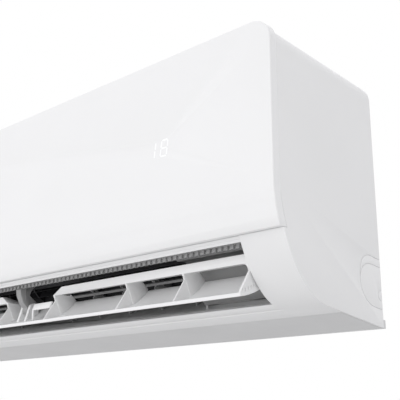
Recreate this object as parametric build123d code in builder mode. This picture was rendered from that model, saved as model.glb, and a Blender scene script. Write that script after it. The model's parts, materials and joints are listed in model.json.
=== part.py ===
"""Wall-mounted indoor unit of a split air conditioner.

The part stands in its hung position: X runs along the unit, -Y is the room side, +Z is up.
The origin is the centre of the wall plate's screw pattern, on the wall itself (Y = 0).
Heights in this script are counted from the unit's lowest back edge, and side_plane,
front_plane and level_plane carry them to their place below or above the origin.
"""

from build123d import *
from math import asin, atan, cos, degrees, radians, sin, sqrt, tan
import os

os.makedirs("parts", exist_ok=True)

# ---------------------------------------------------------------- driving dimensions (mm, degrees)
WIDTH = 840.0  # over both cheeks
DEPTH = 193.0  # wall to the face of the front panel
HEIGHT = 295.0  # lowest back edge to the top of the front panel
MOUNT_HEIGHT = 160.0  # lowest back edge to the centre of the wall plate's screws

# Casing
WALL = 2.5
SEAM = 0.5  # gap between two mouldings that meet
BOTTOM_SEAM = 0.2  # the seam across the bottom, pressed shut
SEAT = 0.3  # gap under a piece that rests or is clipped
BACK_LIP = 4.0  # how far the rear moulding stands out behind the casing
PANEL_RISE = 5.0  # how far the panel's top stands above the casing
TOP_FALL = 7.0  # fall of the casing's top from front to back
TOP_EDGE_RADIUS = 22.0
CHIN_REACH = 81.0  # panel face to the start of the straight bottom
CHIN_HEIGHT = 13.3
CHIN_RADIUS = 62.0
CHIN_TURN = 35.2
CHEEK_RADIUS = 112.0
CHEEK_TURN = 26.0
BOTTOM_SEAM_REACH = 110.0  # panel face to the seam across the bottom
LINE_WIDTH = 0.9  # engraved lines
LINE_DEPTH = 0.9
CHIN_LINE_TURN = 9.0  # degrees along the chin between the steps of the lower lip

BACK_TOP_RADIUS = 9.0
FRAME_RIM = 14.0  # casing left round the openings behind the panel
GRILLE_PITCH = 13.0
GRILLE_SLOT = 8.0
GRILLE_BAR = 4.0
GRILLE_COLUMNS = 6
BUTTON_INSET = 75.0  # right side of the unit to the test button
BUTTON_HEIGHT = 150.0
BUTTON_RADIUS = 4.0
BUTTON_TRAVEL = 1.5
SCREW_RADIUS = 2.0
SCREW_HEAD_RADIUS = 3.8
SCREW_INSET = 22.0
SCREW_LOW = 140.0
SCREW_DROP = 55.0  # top of the unit to the upper casing screws

# Front panel
PANEL_DEPTH = 10.0
PANEL_SKIN = 2.5
PANEL_BOTTOM = 80.0
PANEL_BEND_HEIGHT = 125.0
PANEL_BEND_RADIUS = 130.0
PANEL_CORNER = 24.0
PANEL_GAP = 0.4
PANEL_EDGE = 1.2
PANEL_PIVOT_REACH = 17.0  # panel face to the hinge pins
PANEL_PIVOT_DROP = 14.0  # panel top to the hinge pins
PANEL_ARM_INSET = 28.0  # side of the unit to the hinge arm
PANEL_SIDE_WALL = 3.0
PANEL_ARM_THICK = 5.0
PANEL_PIN_RADIUS = 2.5
PANEL_HUB = 5.0
BEARING_LENGTH = 8.0
BEARING_WALL = 3.0

# Seven-segment display seen through the panel
EIGHT_INSET = 151.4  # right side of the unit to the eight's left bars
ONE_AHEAD = 9.2  # the one's distance ahead of the eight
DIGIT_BASE = 180.0
DIGIT_HEIGHT = 18.0
DIGIT_WIDTH = 9.4
DIGIT_STROKE = 1.3
DIGIT_SLANT = 0.14
DIGIT_DEPTH = 0.8

# Air outlet
CHEEK_WIDTH = 54.0  # side of the unit to the outlet
UPPER_LIP = 74.3
LIP_STEP = 0.8  # set-back of each step of the upper lip
LOWER_LIP_REACH = 65.7
LOWER_LIP_HEIGHT = 17.1
DUCT_SLOPE = 28.0
CHEEK_RETURN = 12.0
DUCT_START = 7.0  # casing's lower lip to the duct floor behind it
DUCT_LENGTH = 81.8
SCROLL_GAP = 5.5  # fan to the end of the scroll
SCROLL_END = 30.0  # degrees above the fan's axis, at the back
COMB_REACH = 29.0  # panel face to the teeth
COMB_THICK = 4.0
COMB_PITCH = 8.0
COMB_TOOTH = 4.2
COMB_LOW = 71.8
COMB_BASE = 76.0
SWEEP_RADIUS = 26.5  # room kept round the louvre's pivot
BLOCK_FOOT_REACH = 87.0  # panel face to the foot of the block on the duct floor

# Louvre; all its outlines are drawn about its pivot
PIVOT_REACH = 48.0
PIVOT_HEIGHT = 46.7
PIVOT_RADIUS = 3.0
LOUVRE_GAP = 2.0  # louvre's end to the cheek
RIB_THICK = 2.5
RIB_INSETS = (90.5, 180.0)  # louvre's end to its outer ribs
RIB_INNER = 51.0  # middle of the unit to the louvre's innermost ribs
RUNNING = 0.06  # radial clearance of turning fits
EAR_THICK = 4.0
ARM_THICK = 10.0
ARM_RIDGE = 0.5
SUPPORT_AT = -22.0  # middle of the unit to the louvre's middle support
LOUVRE_MOTOR_RADIUS = 9.0

# Cross-flow fan
FAN_REACH = 111.0
FAN_HEIGHT = 106.0
FAN_RADIUS = 46.0
FAN_BLADES = 28
FAN_BLADE_THICK = 1.3
FAN_BLADE_LENGTH = 12.0
FAN_RING_THICK = 2.0
FAN_RINGS = 9
FAN_GAP = 6.0  # end discs to the end walls
SHAFT_RADIUS = 4.0
MACHINE_ROOM = 163.0  # right side of the unit to the fan's end wall
END_WALL = 3.0
LEFT_WALL_GAP = 3.2  # edge of the outlet to the fan's left end wall
MOTOR_RADIUS = 40.0
MOTOR_LENGTH = 62.0
MOTOR_SETBACK = 10.0  # end wall to the motor's face
MOTOR_FIT = 0.3
MOTOR_BOSS = 12.0
CRADLE_HALF = 33.0
CRADLE_TOP = 78.0
CRADLE_INSET = 6.0
CLAMP_THICK = 3.0
CLAMP_WIDTH = 14.0
BEARING_RADIUS = 9.0
HOLDER_RADIUS = 15.7
FAN_PITCH = 25.0  # degrees between a blade and its radius

# Drain pan
PAN_UNDERSIDE = 80.0
PAN_FLOOR = 86.0
PAN_WALL = 2.5
PAN_BACK = 57.0  # panel face to the back of the trough
PAN_BACK_TOP = 101.0
NOSE_LOW = 75.5
NOSE_REACH = 63.5

# Heat exchanger and filters
FILTER_REACH = 18.0
FILTER_BASE_HEIGHT = 116.0
FILTER_LEAN = 30.0
FILTER_THICK = 3.0
FILTER_BAR = 6.0
FILTER_STAND = 2.0  # grip above the casing's top
FILTER_SLACK = 1.0
FILTER_RIB = 6.0
COIL_BEHIND_FILTER = 8.0
COIL_THICK = 25.0
COIL_ROOM = 24.0
REAR_COIL_FOOT = 162.7  # lowest back edge to the rear bank's foot
REAR_COIL_GAP = 14.0
COIL_BENDS = 17.2  # fan's left end wall to the coil, room for the return bends
REAR_COIL_SETBACK = 8.2  # front bank's upper back corner to the top of the rear bank
REAR_COIL_DROP = 64.5  # casing's top to the top of the rear bank
TUBE_RADIUS = 3.5
TUBE_PITCH = 21.0
TUBE_ROW = 12.5

# Side-to-side air vanes behind the louvre
VANE_PITCH = 56.0
VANE_THICK = 1.6
VANES = 5
VANE_LEFT_GAP = 45.2  # fan's left end wall to the first vane
VANE_RIGHT_GAP = 18.0  # last vane to the fan's right end wall
VANE_REACH = 105.0  # panel face to the vane's foot on the duct floor
VANE_PIN_RADIUS = 2.0
LINK_PIN_RADIUS = 1.3
LINK_PIN_AT = 12.0  # in front of the vane's own axis
LINK_LOW = 31.0
LINK_THICK = 3.0
LINK_WIDTH = 5.0

# Rear moulding and wall plate
CHASSIS_WALL = 3.0
CHASSIS_DROP = 30.0  # casing's top to the rear moulding's top
SCREW_SPACING_X = 450.0
SCREW_SPACING_Z = 120.0
SCREW_HOLE_RADIUS = 3.0
BACK_WALL_GAP = 3.0  # wall to the moulding's back face
BACK_LIP_HEIGHT = 9.0
PLATE_THICK = 1.5
HOOK_AT = 190.0
HOOK_WIDTH = 40.0
HOOK_HEIGHT = 236.0
HOOK_THICK = 3.0
HOOK_LIP = 7.0
PLATE_WIDTH = 560.0
PLATE_HEIGHT = 170.0
CHANNEL_HALF = 300.0
CHANNEL_LOW = 14.0
CHANNEL_HIGH = 52.0
CHANNEL_DEPTH = 34.0

# Refrigerant pipes
GAS_RADIUS = 4.76
LIQUID_RADIUS = 3.18
PIPE_BEND = 14.0
PIPE_BACK = 17.0  # wall to the pipes' centre lines
PIPE_END = 60.0
GAS_DOWN = 28.0  # end wall to the gas pipe's drop
LIQUID_DOWN = 14.0
GAS_LOW = 26.0
LIQUID_LOW = 42.0
NUT_LENGTH = 20.0

# Electric box
BOX_RIGHT = 30.0  # side of the unit to the box
BOX_DROP = 22.0  # casing's top to the electric box
BOX_BELOW_BUTTON = 22.0  # test button to the foot of the electric box
BOX_DEPTH = 46.0
BOX_WALL = 2.0
BOARD_SETBACK = 18.0
BOARD_THICK = 1.6

# Frame and display behind the panel
STIFFENER_INSET = 15.0  # side of the unit to the stiffener
STIFFENER_LOW = 128.0
STIFFENER_DROP = 33.0  # panel's top to the stiffener
STIFFENER_BAR = 8.0
STIFFENER_DEPTH = 4.0
STIFFENER_RAIL = 214.0  # foot of the middle rail, above the display
STIFFENER_CELLS = 10
DISPLAY_INSET = 111.0  # right side of the unit to the display housing
DISPLAY_WIDE = 60.0
DISPLAY_LOW = 168.0
DISPLAY_HIGH = 212.0
DISPLAY_DEPTH = 6.0

# ---------------------------------------------------------------- places worked out from the sizes
HALF = WIDTH / 2
FRONT = -DEPTH
OPENING_HALF = HALF - CHEEK_WIDTH
LOUVRE_END = OPENING_HALF - LOUVRE_GAP
RIB_AT = [LOUVRE_END - inset for inset in RIB_INSETS] + [RIB_INNER]
LEFT_WALL_AT = OPENING_HALF + LEFT_WALL_GAP
COIL_END = LEFT_WALL_AT - COIL_BENDS
PANEL_ARM_AT = HALF - PANEL_ARM_INSET
EIGHT_LEFT = HALF - EIGHT_INSET
ONE_AT = EIGHT_LEFT - ONE_AHEAD
DISPLAY_RIGHT = HALF - DISPLAY_INSET
DISPLAY_LEFT = DISPLAY_RIGHT - DISPLAY_WIDE
BUTTON_AT = HALF - BUTTON_INSET
STIFFENER_HALF = HALF - STIFFENER_INSET
STIFFENER_HIGH = HEIGHT - STIFFENER_DROP
BOTTOM = -MOUNT_HEIGHT
CASING_FRONT = FRONT + PANEL_DEPTH + PANEL_GAP
CASING_TOP = HEIGHT - PANEL_RISE
CHASSIS_TOP = CASING_TOP - CHASSIS_DROP
BOX_TOP = CASING_TOP - BOX_DROP
BOX_BOTTOM = BUTTON_HEIGHT - BOX_BELOW_BUTTON
CHIN_Y = FRONT + CHIN_REACH
BOTTOM_RISE = atan(-CHIN_HEIGHT / CHIN_Y)
LEDGE = PANEL_BOTTOM - PANEL_GAP
PIVOT = Vector(FRONT + PIVOT_REACH, PIVOT_HEIGHT)
FAN = Vector(FRONT + FAN_REACH, FAN_HEIGHT)
FAN_WALL_X = HALF - MACHINE_ROOM
FAN_LEFT_X = -LEFT_WALL_AT + FAN_GAP + 8
FAN_RIGHT_X = FAN_WALL_X - FAN_GAP
VANE_FIRST_LEFT = VANE_LEFT_GAP - LEFT_WALL_AT
VANE_FIRST_RIGHT = FAN_WALL_X - VANE_RIGHT_GAP - (VANES - 1) * VANE_PITCH
LIP = Vector(FRONT + LOWER_LIP_REACH, LOWER_LIP_HEIGHT)
FLOOR = Vector(cos(radians(DUCT_SLOPE)), sin(radians(DUCT_SLOPE)))
FLOOR_UP = Vector(-FLOOR.Y, FLOOR.X)
DUCT_NEAR = LIP + FLOOR * DUCT_START
DUCT_FAR = LIP + FLOOR * DUCT_LENGTH
BLOCK_FOOT = LIP + FLOOR * ((FRONT + BLOCK_FOOT_REACH - LIP.X) / FLOOR.X)
BLOCK_TOE = 7.0
RISE = Vector(sin(radians(FILTER_LEAN)), cos(radians(FILTER_LEAN)))
INWARD = Vector(RISE.Y, -RISE.X)
FILTER_BASE = Vector(FRONT + FILTER_REACH, FILTER_BASE_HEIGHT)
COIL_RIGHT = FAN_WALL_X - 3.5
INTAKE_MIDDLE = (COIL_RIGHT - COIL_END) / 2
FILTER_SPANS = (
    (-COIL_END + 3, INTAKE_MIDDLE - FILTER_RIB / 2),
    (INTAKE_MIDDLE + FILTER_RIB / 2, COIL_RIGHT - 3),
)
PANEL_PIVOT = Vector(FRONT + PANEL_PIVOT_REACH, HEIGHT - PANEL_PIVOT_DROP)
SCREW_HEIGHTS = (SCREW_LOW, HEIGHT - SCREW_DROP)
SCREW_PLACES = [(side * (HALF - SCREW_INSET), height) for side in (-1, 1) for height in SCREW_HEIGHTS]


def side_plane(x):
    """Plane across the unit at x: sketch x is Y, sketch y is the height."""
    return Plane(origin=(x, 0, BOTTOM), x_dir=(0, 1, 0), z_dir=(1, 0, 0))


def front_plane(y):
    """Upright plane at y, facing the room: sketch x is X, sketch y is the height."""
    return Plane(origin=(0, y, BOTTOM), x_dir=(1, 0, 0), z_dir=(0, -1, 0))


def level_plane(height):
    """Level plane at a height above the unit's lowest edge."""
    return Plane.XY.offset(BOTTOM + height)


def bottom_height(y):
    """Height of the sloping underside at y."""
    return CHIN_HEIGHT * y / CHIN_Y


def top_height(y):
    """Height of the casing's top at y."""
    return CASING_TOP - TOP_FALL * (y - CASING_FRONT) / (-BACK_LIP - CASING_FRONT)


def chin_point(turn, depth):
    """Point at an angle along the chin's arc, at a depth under its skin."""
    now = BOTTOM_RISE + radians(turn)
    radius = CHIN_RADIUS - depth
    return (
        CHIN_Y + CHIN_RADIUS * sin(BOTTOM_RISE) - radius * sin(now),
        CHIN_HEIGHT + CHIN_RADIUS * cos(BOTTOM_RISE) - radius * cos(now),
    )


def bend(height, depth):
    """Y of the panel's face at a height, at a depth behind that face."""
    below = max(PANEL_BEND_HEIGHT - height, 0)
    radius = PANEL_BEND_RADIUS - depth
    return FRONT + PANEL_BEND_RADIUS - sqrt(radius**2 - below**2)


def slab(points, x_from, x_to, mode=Mode.ADD):
    """Side-view polygon extruded along the unit."""
    with BuildSketch(side_plane(x_from)) as outline:
        with BuildLine():
            Polyline(*points, close=True)
        make_face()
    extrude(outline.sketch, amount=x_to - x_from, mode=mode)


def rod(centre, radius, x_from, x_to, mode=Mode.ADD):
    """Round bar or hole along the unit."""
    with BuildSketch(side_plane(x_from)) as outline:
        with Locations((centre.X, centre.Y)):
            Circle(radius)
    extrude(outline.sketch, amount=x_to - x_from, mode=mode)


def block(x_span, y_span, h_span, mode=Mode.ADD):
    """Box from its limits along X, along Y and in height."""
    with BuildSketch(level_plane(h_span[0])) as outline:
        with Locations(((x_span[0] + x_span[1]) / 2, (y_span[0] + y_span[1]) / 2)):
            Rectangle(x_span[1] - x_span[0], y_span[1] - y_span[0])
    extrude(outline.sketch, amount=h_span[1] - h_span[0], mode=mode)


# ---------------------------------------------------------------- front casing
def casing_face(x):
    """Filled side view of the casing."""
    with BuildSketch(side_plane(x)) as face:
        with BuildLine():
            low = Line((-BACK_LIP, bottom_height(-BACK_LIP)), (CHIN_Y, CHIN_HEIGHT))
            chin = JernArc(start=low @ 1, tangent=low % 1, radius=CHIN_RADIUS, arc_size=-CHIN_TURN)
            cheek = JernArc(start=chin @ 1, tangent=chin % 1, radius=CHEEK_RADIUS, arc_size=-CHEEK_TURN)
            end = cheek @ 1
            way = cheek % 1
            ledge_y = end.X + way.X / way.Y * (LEDGE - end.Y)
            rim_radius = PANEL_BEND_RADIUS - PANEL_DEPTH - PANEL_GAP
            rim_y = bend(LEDGE, PANEL_DEPTH + PANEL_GAP)
            Polyline(cheek @ 1, (ledge_y, LEDGE), (rim_y, LEDGE))
            turn = degrees(asin((PANEL_BEND_HEIGHT - LEDGE) / rim_radius))
            rim = JernArc(
                start=(CASING_FRONT, PANEL_BEND_HEIGHT), tangent=(0, -1), radius=rim_radius, arc_size=turn
            )
            Polyline(
                rim @ 0,
                (CASING_FRONT, CASING_TOP),
                (-BACK_LIP, CASING_TOP - TOP_FALL),
                (-BACK_LIP, bottom_height(-BACK_LIP)),
            )
        make_face()
    return face


def cut_back_corner(radius):
    """Round the top edge at the back; the upright back edges stay sharp."""
    middle_y = -BACK_LIP - BACK_TOP_RADIUS
    with BuildSketch(side_plane(-HALF)) as corner:
        with Locations((middle_y, top_height(middle_y) - BACK_TOP_RADIUS)):
            Rectangle(2 * BACK_TOP_RADIUS, 2 * BACK_TOP_RADIUS, align=(Align.MIN, Align.MIN))
            Circle(radius, mode=Mode.SUBTRACT)
    extrude(corner.sketch, amount=WIDTH, mode=Mode.SUBTRACT)


def filter_line(height):
    """Y of the filter's middle plane at a height."""
    return FILTER_BASE.X + (height - FILTER_BASE.Y) * tan(radians(FILTER_LEAN))


with BuildPart() as casing_cavity:
    with BuildSketch(side_plane(-HALF + WALL)):
        add(casing_face(0).sketch_local)
        offset(amount=-WALL, mode=Mode.REPLACE)
    extrude(amount=2 * (HALF - WALL))
    fillet(
        casing_cavity.edges().filter_by(Axis.Y, tolerance=5).group_by(Axis.Z)[-1],
        radius=TOP_EDGE_RADIUS - WALL,
    )
    behind_seam = FRONT + BOTTOM_SEAM_REACH
    block((-HALF + WALL, HALF - WALL), (behind_seam, 5), (-5, bottom_height(behind_seam) + WALL + 1))
    block(
        (-HALF + WALL, HALF - WALL),
        (-BACK_LIP - WALL - 1, 5),
        (5, CASING_TOP - TOP_FALL - TOP_EDGE_RADIUS),
    )
    cut_back_corner(BACK_TOP_RADIUS - WALL)

with BuildPart() as front_casing:
    extrude(casing_face(-HALF).sketch, amount=WIDTH)
    top_edges = front_casing.edges().filter_by(Axis.Y, tolerance=5).group_by(Axis.Z)[-1]
    fillet(top_edges, radius=TOP_EDGE_RADIUS)
    cut_back_corner(BACK_TOP_RADIUS)
    add(casing_cavity.part, mode=Mode.SUBTRACT)
    # Air outlet between the cheeks, its lower lip cut in line with the duct floor.
    lip_far = LIP + FLOOR * 40
    lip_out = LIP - FLOOR * 110
    slab(
        [(lip_out.X, UPPER_LIP), (lip_far.X, UPPER_LIP), (lip_far.X, lip_far.Y), (lip_out.X, lip_out.Y)],
        -OPENING_HALF,
        OPENING_HALF,
        Mode.SUBTRACT,
    )
    # The upper lip stands back from the cheeks in two steps.
    lip_y = min(end.X for end in casing_face(0).sketch_local.vertices() if abs(end.Y - LEDGE) < 0.01)
    lean = 1 / tan(radians(CHIN_TURN + CHEEK_TURN) + BOTTOM_RISE)
    for depth, step_top in ((LIP_STEP, LEDGE), (2 * LIP_STEP, (UPPER_LIP + LEDGE) / 2)):
        slab(
            [
                (lip_y - 10, step_top),
                (lip_y + depth + lean * (LEDGE - step_top), step_top),
                (lip_y + depth + lean * (LEDGE - UPPER_LIP + 1), UPPER_LIP - 1),
                (lip_y - 10, UPPER_LIP - 1),
            ],
            -OPENING_HALF,
            OPENING_HALF,
            Mode.SUBTRACT,
        )
    # So does the lower lip, from the line along the chin upwards.
    for depth, turn in ((LIP_STEP, 0), (2 * LIP_STEP, CHIN_LINE_TURN)):
        slab(
            [chin_point(turn, depth), chin_point(2 * CHIN_LINE_TURN, depth)]
            + [chin_point(2 * CHIN_LINE_TURN, -5), chin_point(turn, -5)],
            -OPENING_HALF,
            OPENING_HALF,
            Mode.SUBTRACT,
        )
    # Returns that close the cheeks beside the outlet, with an eye for the louvre's pivot.
    for start in (-OPENING_HALF - WALL, OPENING_HALF):
        with BuildSketch(side_plane(start)):
            add(casing_face(0).sketch_local)
            offset(casing_face(0).sketch_local, amount=-CHEEK_RETURN, mode=Mode.SUBTRACT)
            with Locations((FRONT, 0)):
                Rectangle(2 * (DUCT_NEAR.X - SEAM - FRONT), 2 * UPPER_LIP, mode=Mode.INTERSECT)
            with Locations((PIVOT.X, PIVOT.Y)):
                Circle(CHEEK_RETURN - 1)
        extrude(amount=WALL)
    rod(PIVOT, PIVOT_RADIUS + 2, -OPENING_HALF - WALL, -OPENING_HALF, Mode.SUBTRACT)
    rod(PIVOT, PIVOT_RADIUS + 0.5, OPENING_HALF, OPENING_HALF + WALL, Mode.SUBTRACT)

    # Openings behind the panel for the air filters, either side of a post.
    for span in FILTER_SPANS:
        block(
            span,
            (CASING_FRONT - 1, CASING_FRONT + WALL + 1),
            (PANEL_BEND_HEIGHT + FRAME_RIM, CASING_TOP - FRAME_RIM),
            Mode.SUBTRACT,
        )
    # Intake grille in the top: rows of slots in front of the filters' way out.
    grille_back = filter_line(CASING_TOP - TOP_FALL) - GRILLE_SLOT
    rows = int((grille_back - CASING_FRONT - FRAME_RIM) / GRILLE_PITCH)
    for span in FILTER_SPANS:
        columns = GRILLE_COLUMNS
        cell = (span[1] - span[0]) / columns
        with BuildSketch(level_plane(CASING_TOP + 1)) as grille:
            with Locations(((span[0] + span[1]) / 2, grille_back - rows * GRILLE_PITCH / 2)):
                with GridLocations(cell, GRILLE_PITCH, columns, rows):
                    Rectangle(cell - GRILLE_BAR, GRILLE_SLOT)
        extrude(grille.sketch, amount=-(TOP_FALL + WALL + 4), mode=Mode.SUBTRACT)
        low = CASING_TOP - TOP_FALL - 3 * WALL
        high = CASING_TOP + 2
        half = FILTER_THICK / 2 / cos(radians(FILTER_LEAN)) + FILTER_SLACK
        slab(
            [
                (filter_line(low) - half, low),
                (filter_line(high) - half, high),
                (filter_line(high) + half, high),
                (filter_line(low) + half, low),
            ],
            span[0] - FILTER_SLACK,
            span[1] + FILTER_SLACK,
            Mode.SUBTRACT,
        )
    # Bearings for the panel's hinge pins, with a notch that its arm swings through.
    for side in (-1, 1):
        inner = PANEL_ARM_AT - PANEL_ARM_THICK / 2 - SEAM
        outer = PANEL_ARM_AT + PANEL_ARM_THICK / 2 + SEAM
        spans = sorted((side * (inner - BEARING_LENGTH), side * inner))
        notch = sorted((side * inner, side * outer))
        boss_top = top_height(PANEL_PIVOT.X) - WALL / 2
        block(
            spans,
            (CASING_FRONT + WALL / 2, PANEL_PIVOT.X + BEARING_WALL + PANEL_PIN_RADIUS),
            (PANEL_PIVOT.Y - BEARING_WALL - PANEL_PIN_RADIUS, boss_top),
        )
        rod(PANEL_PIVOT, PANEL_PIN_RADIUS + RUNNING, spans[0], spans[1], Mode.SUBTRACT)
        block(
            notch,
            (CASING_FRONT - 1, PANEL_PIVOT.X + PANEL_HUB + SEAM),
            (PANEL_PIVOT.Y - PANEL_HUB - SEAM, CASING_TOP + 1),
            Mode.SUBTRACT,
        )
    # Knock-outs for pipes leaving sideways, marked by engraved lines, and the line along the chin.
    for side in (-1, 1):
        with BuildSketch(side_plane(side * HALF)) as knock_out:
            with BuildLine() as marks:
                back = -BACK_LIP
                Spline((back, 65.4), (-16.0, 66.2), (-28.4, 66.6), (-38.4, 63.2), (-44.5, 56.4),
                       (-46.4, 48.0), (-44.6, 38.0), (-38.0, 29.0), (-28.4, 23.0), (-16.8, 20.7), (back, 19.3))
                Spline((back, 74.2), (-17.0, 75.2), (-31.0, 75.6), (-40.2, 70.6), (-45.3, 61.0), (-46.4, 48.0))
                Spline((back, 39.8), (-9.4, 38.4), (-11.4, 34.6), (-9.9, 30.8), (back, 29.0))
            trace(line_width=LINE_WIDTH)
        extrude(knock_out.sketch, amount=-side * LINE_DEPTH, mode=Mode.SUBTRACT)
    rod(Vector(CHIN_Y, CHIN_HEIGHT), LINE_DEPTH, -OPENING_HALF, OPENING_HALF, Mode.SUBTRACT)
    # Bore for the test button and holes for the four casing screws.
    with BuildSketch(front_plane(CASING_FRONT - 1)) as bores:
        with Locations((BUTTON_AT, BUTTON_HEIGHT)):
            Circle(BUTTON_RADIUS + RUNNING)
        with Locations(*SCREW_PLACES):
            Circle(SCREW_RADIUS + RUNNING)
    extrude(bores.sketch, amount=-(WALL + 2), mode=Mode.SUBTRACT)
front_casing.part.label = "front_casing"
export_step(front_casing.part, "parts/front_casing.step")


# ---------------------------------------------------------------- wall plate and rear moulding
with BuildPart() as wall_plate:
    with BuildSketch(front_plane(0)):
        with Locations((0, MOUNT_HEIGHT)):
            Rectangle(PLATE_WIDTH, PLATE_HEIGHT)
            with GridLocations(SCREW_SPACING_X, SCREW_SPACING_Z, 2, 2):
                Circle(SCREW_HOLE_RADIUS, mode=Mode.SUBTRACT)
            Rectangle(PLATE_WIDTH / 3, PLATE_HEIGHT / 3, mode=Mode.SUBTRACT)
    extrude(amount=PLATE_THICK)
    # Hooks that the rear moulding hangs on, and pads that space it from the plate.
    for at in (-HOOK_AT, HOOK_AT):
        span = (at - HOOK_WIDTH / 2, at + HOOK_WIDTH / 2)
        tip = -BACK_WALL_GAP - CHASSIS_WALL - SEAM
        block(span, (tip - PLATE_THICK, -PLATE_THICK / 2), (HOOK_HEIGHT, HOOK_HEIGHT + HOOK_THICK))
        block(span, (tip - PLATE_THICK, tip), (HOOK_HEIGHT, HOOK_HEIGHT + HOOK_THICK + HOOK_LIP))
        pad_low = MOUNT_HEIGHT - PLATE_HEIGHT / 2
        block(span, (-BACK_WALL_GAP + SEAT, -PLATE_THICK / 2), (pad_low, pad_low + HOOK_WIDTH / 2))
wall_plate.part.label = "wall_plate"
export_step(wall_plate.part, "parts/wall_plate.step")

CHASSIS_HALF = HALF - WALL - SEAM
BACK_FACE = -BACK_WALL_GAP - CHASSIS_WALL
SCROLL_REACH = FAN_RADIUS + SCROLL_GAP
SCROLL_TIP = FAN + Vector(cos(radians(SCROLL_END)), sin(radians(SCROLL_END))) * SCROLL_REACH
SCROLL_CHORD = SCROLL_TIP - DUCT_FAR
SCROLL_RADIUS = SCROLL_CHORD.length**2 / (2 * SCROLL_CHORD.dot(FLOOR_UP))
SCROLL_CENTRE = DUCT_FAR + FLOOR_UP * SCROLL_RADIUS
SCROLL_OUTER_TIP = SCROLL_CENTRE + (SCROLL_TIP - SCROLL_CENTRE) * (1 + CHASSIS_WALL / SCROLL_RADIUS)
VANE_FOOT_Y = FRONT + VANE_REACH
VANE_FOOT = LIP + FLOOR * ((VANE_FOOT_Y - LIP.X) / FLOOR.X)
VANES_LEFT = [VANE_FIRST_LEFT + VANE_PITCH * place for place in range(VANES)]
VANES_RIGHT = [VANE_FIRST_RIGHT + VANE_PITCH * place for place in range(VANES)]
MOTOR_FACE = FAN_WALL_X + END_WALL + MOTOR_SETBACK
MOTOR_BACK = MOTOR_FACE + MOTOR_LENGTH
CRADLE_SPAN = (MOTOR_FACE + CRADLE_INSET, MOTOR_BACK - CRADLE_INSET)
GAS_X = FAN_WALL_X + GAS_DOWN
LIQUID_X = FAN_WALL_X + LIQUID_DOWN
GAS_START = (-32.0, 172.0)
LIQUID_START = (-46.0, 200.0)


def vane_plane(x, lift=0):
    """Plane square to a vane's axis: sketch x is X, sketch y runs up the duct floor."""
    foot = VANE_FOOT + FLOOR_UP * lift
    return Plane(origin=(x, foot.X, BOTTOM + foot.Y), x_dir=(1, 0, 0), z_dir=(0, FLOOR_UP.X, FLOOR_UP.Y))


def end_wall(x, thick):
    """Wall that closes the fan's space at one end."""
    low_y = LIP.X + CHASSIS_WALL * 3
    slab(
        [
            (BACK_FACE + 1, bottom_height(BACK_FACE) + 1),
            (FRONT + BOTTOM_SEAM_REACH + 1, bottom_height(FRONT + BOTTOM_SEAM_REACH) + 1),
            (FRONT + BOTTOM_SEAM_REACH + 1, bottom_height(FRONT + BOTTOM_SEAM_REACH) + 2 * WALL),
            (low_y, LIP.Y + 2),
            (low_y, PAN_UNDERSIDE + 2),
            (FRONT + FILTER_REACH + WALL, PAN_UNDERSIDE + 14),
            (FRONT + FILTER_REACH + WALL, FILTER_BASE.Y + 4),
            (filter_line(CASING_TOP - COIL_ROOM) - 4, CASING_TOP - COIL_ROOM),
            (BACK_FACE + 1, CHASSIS_TOP),
        ],
        x,
        x + thick,
    )


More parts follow.
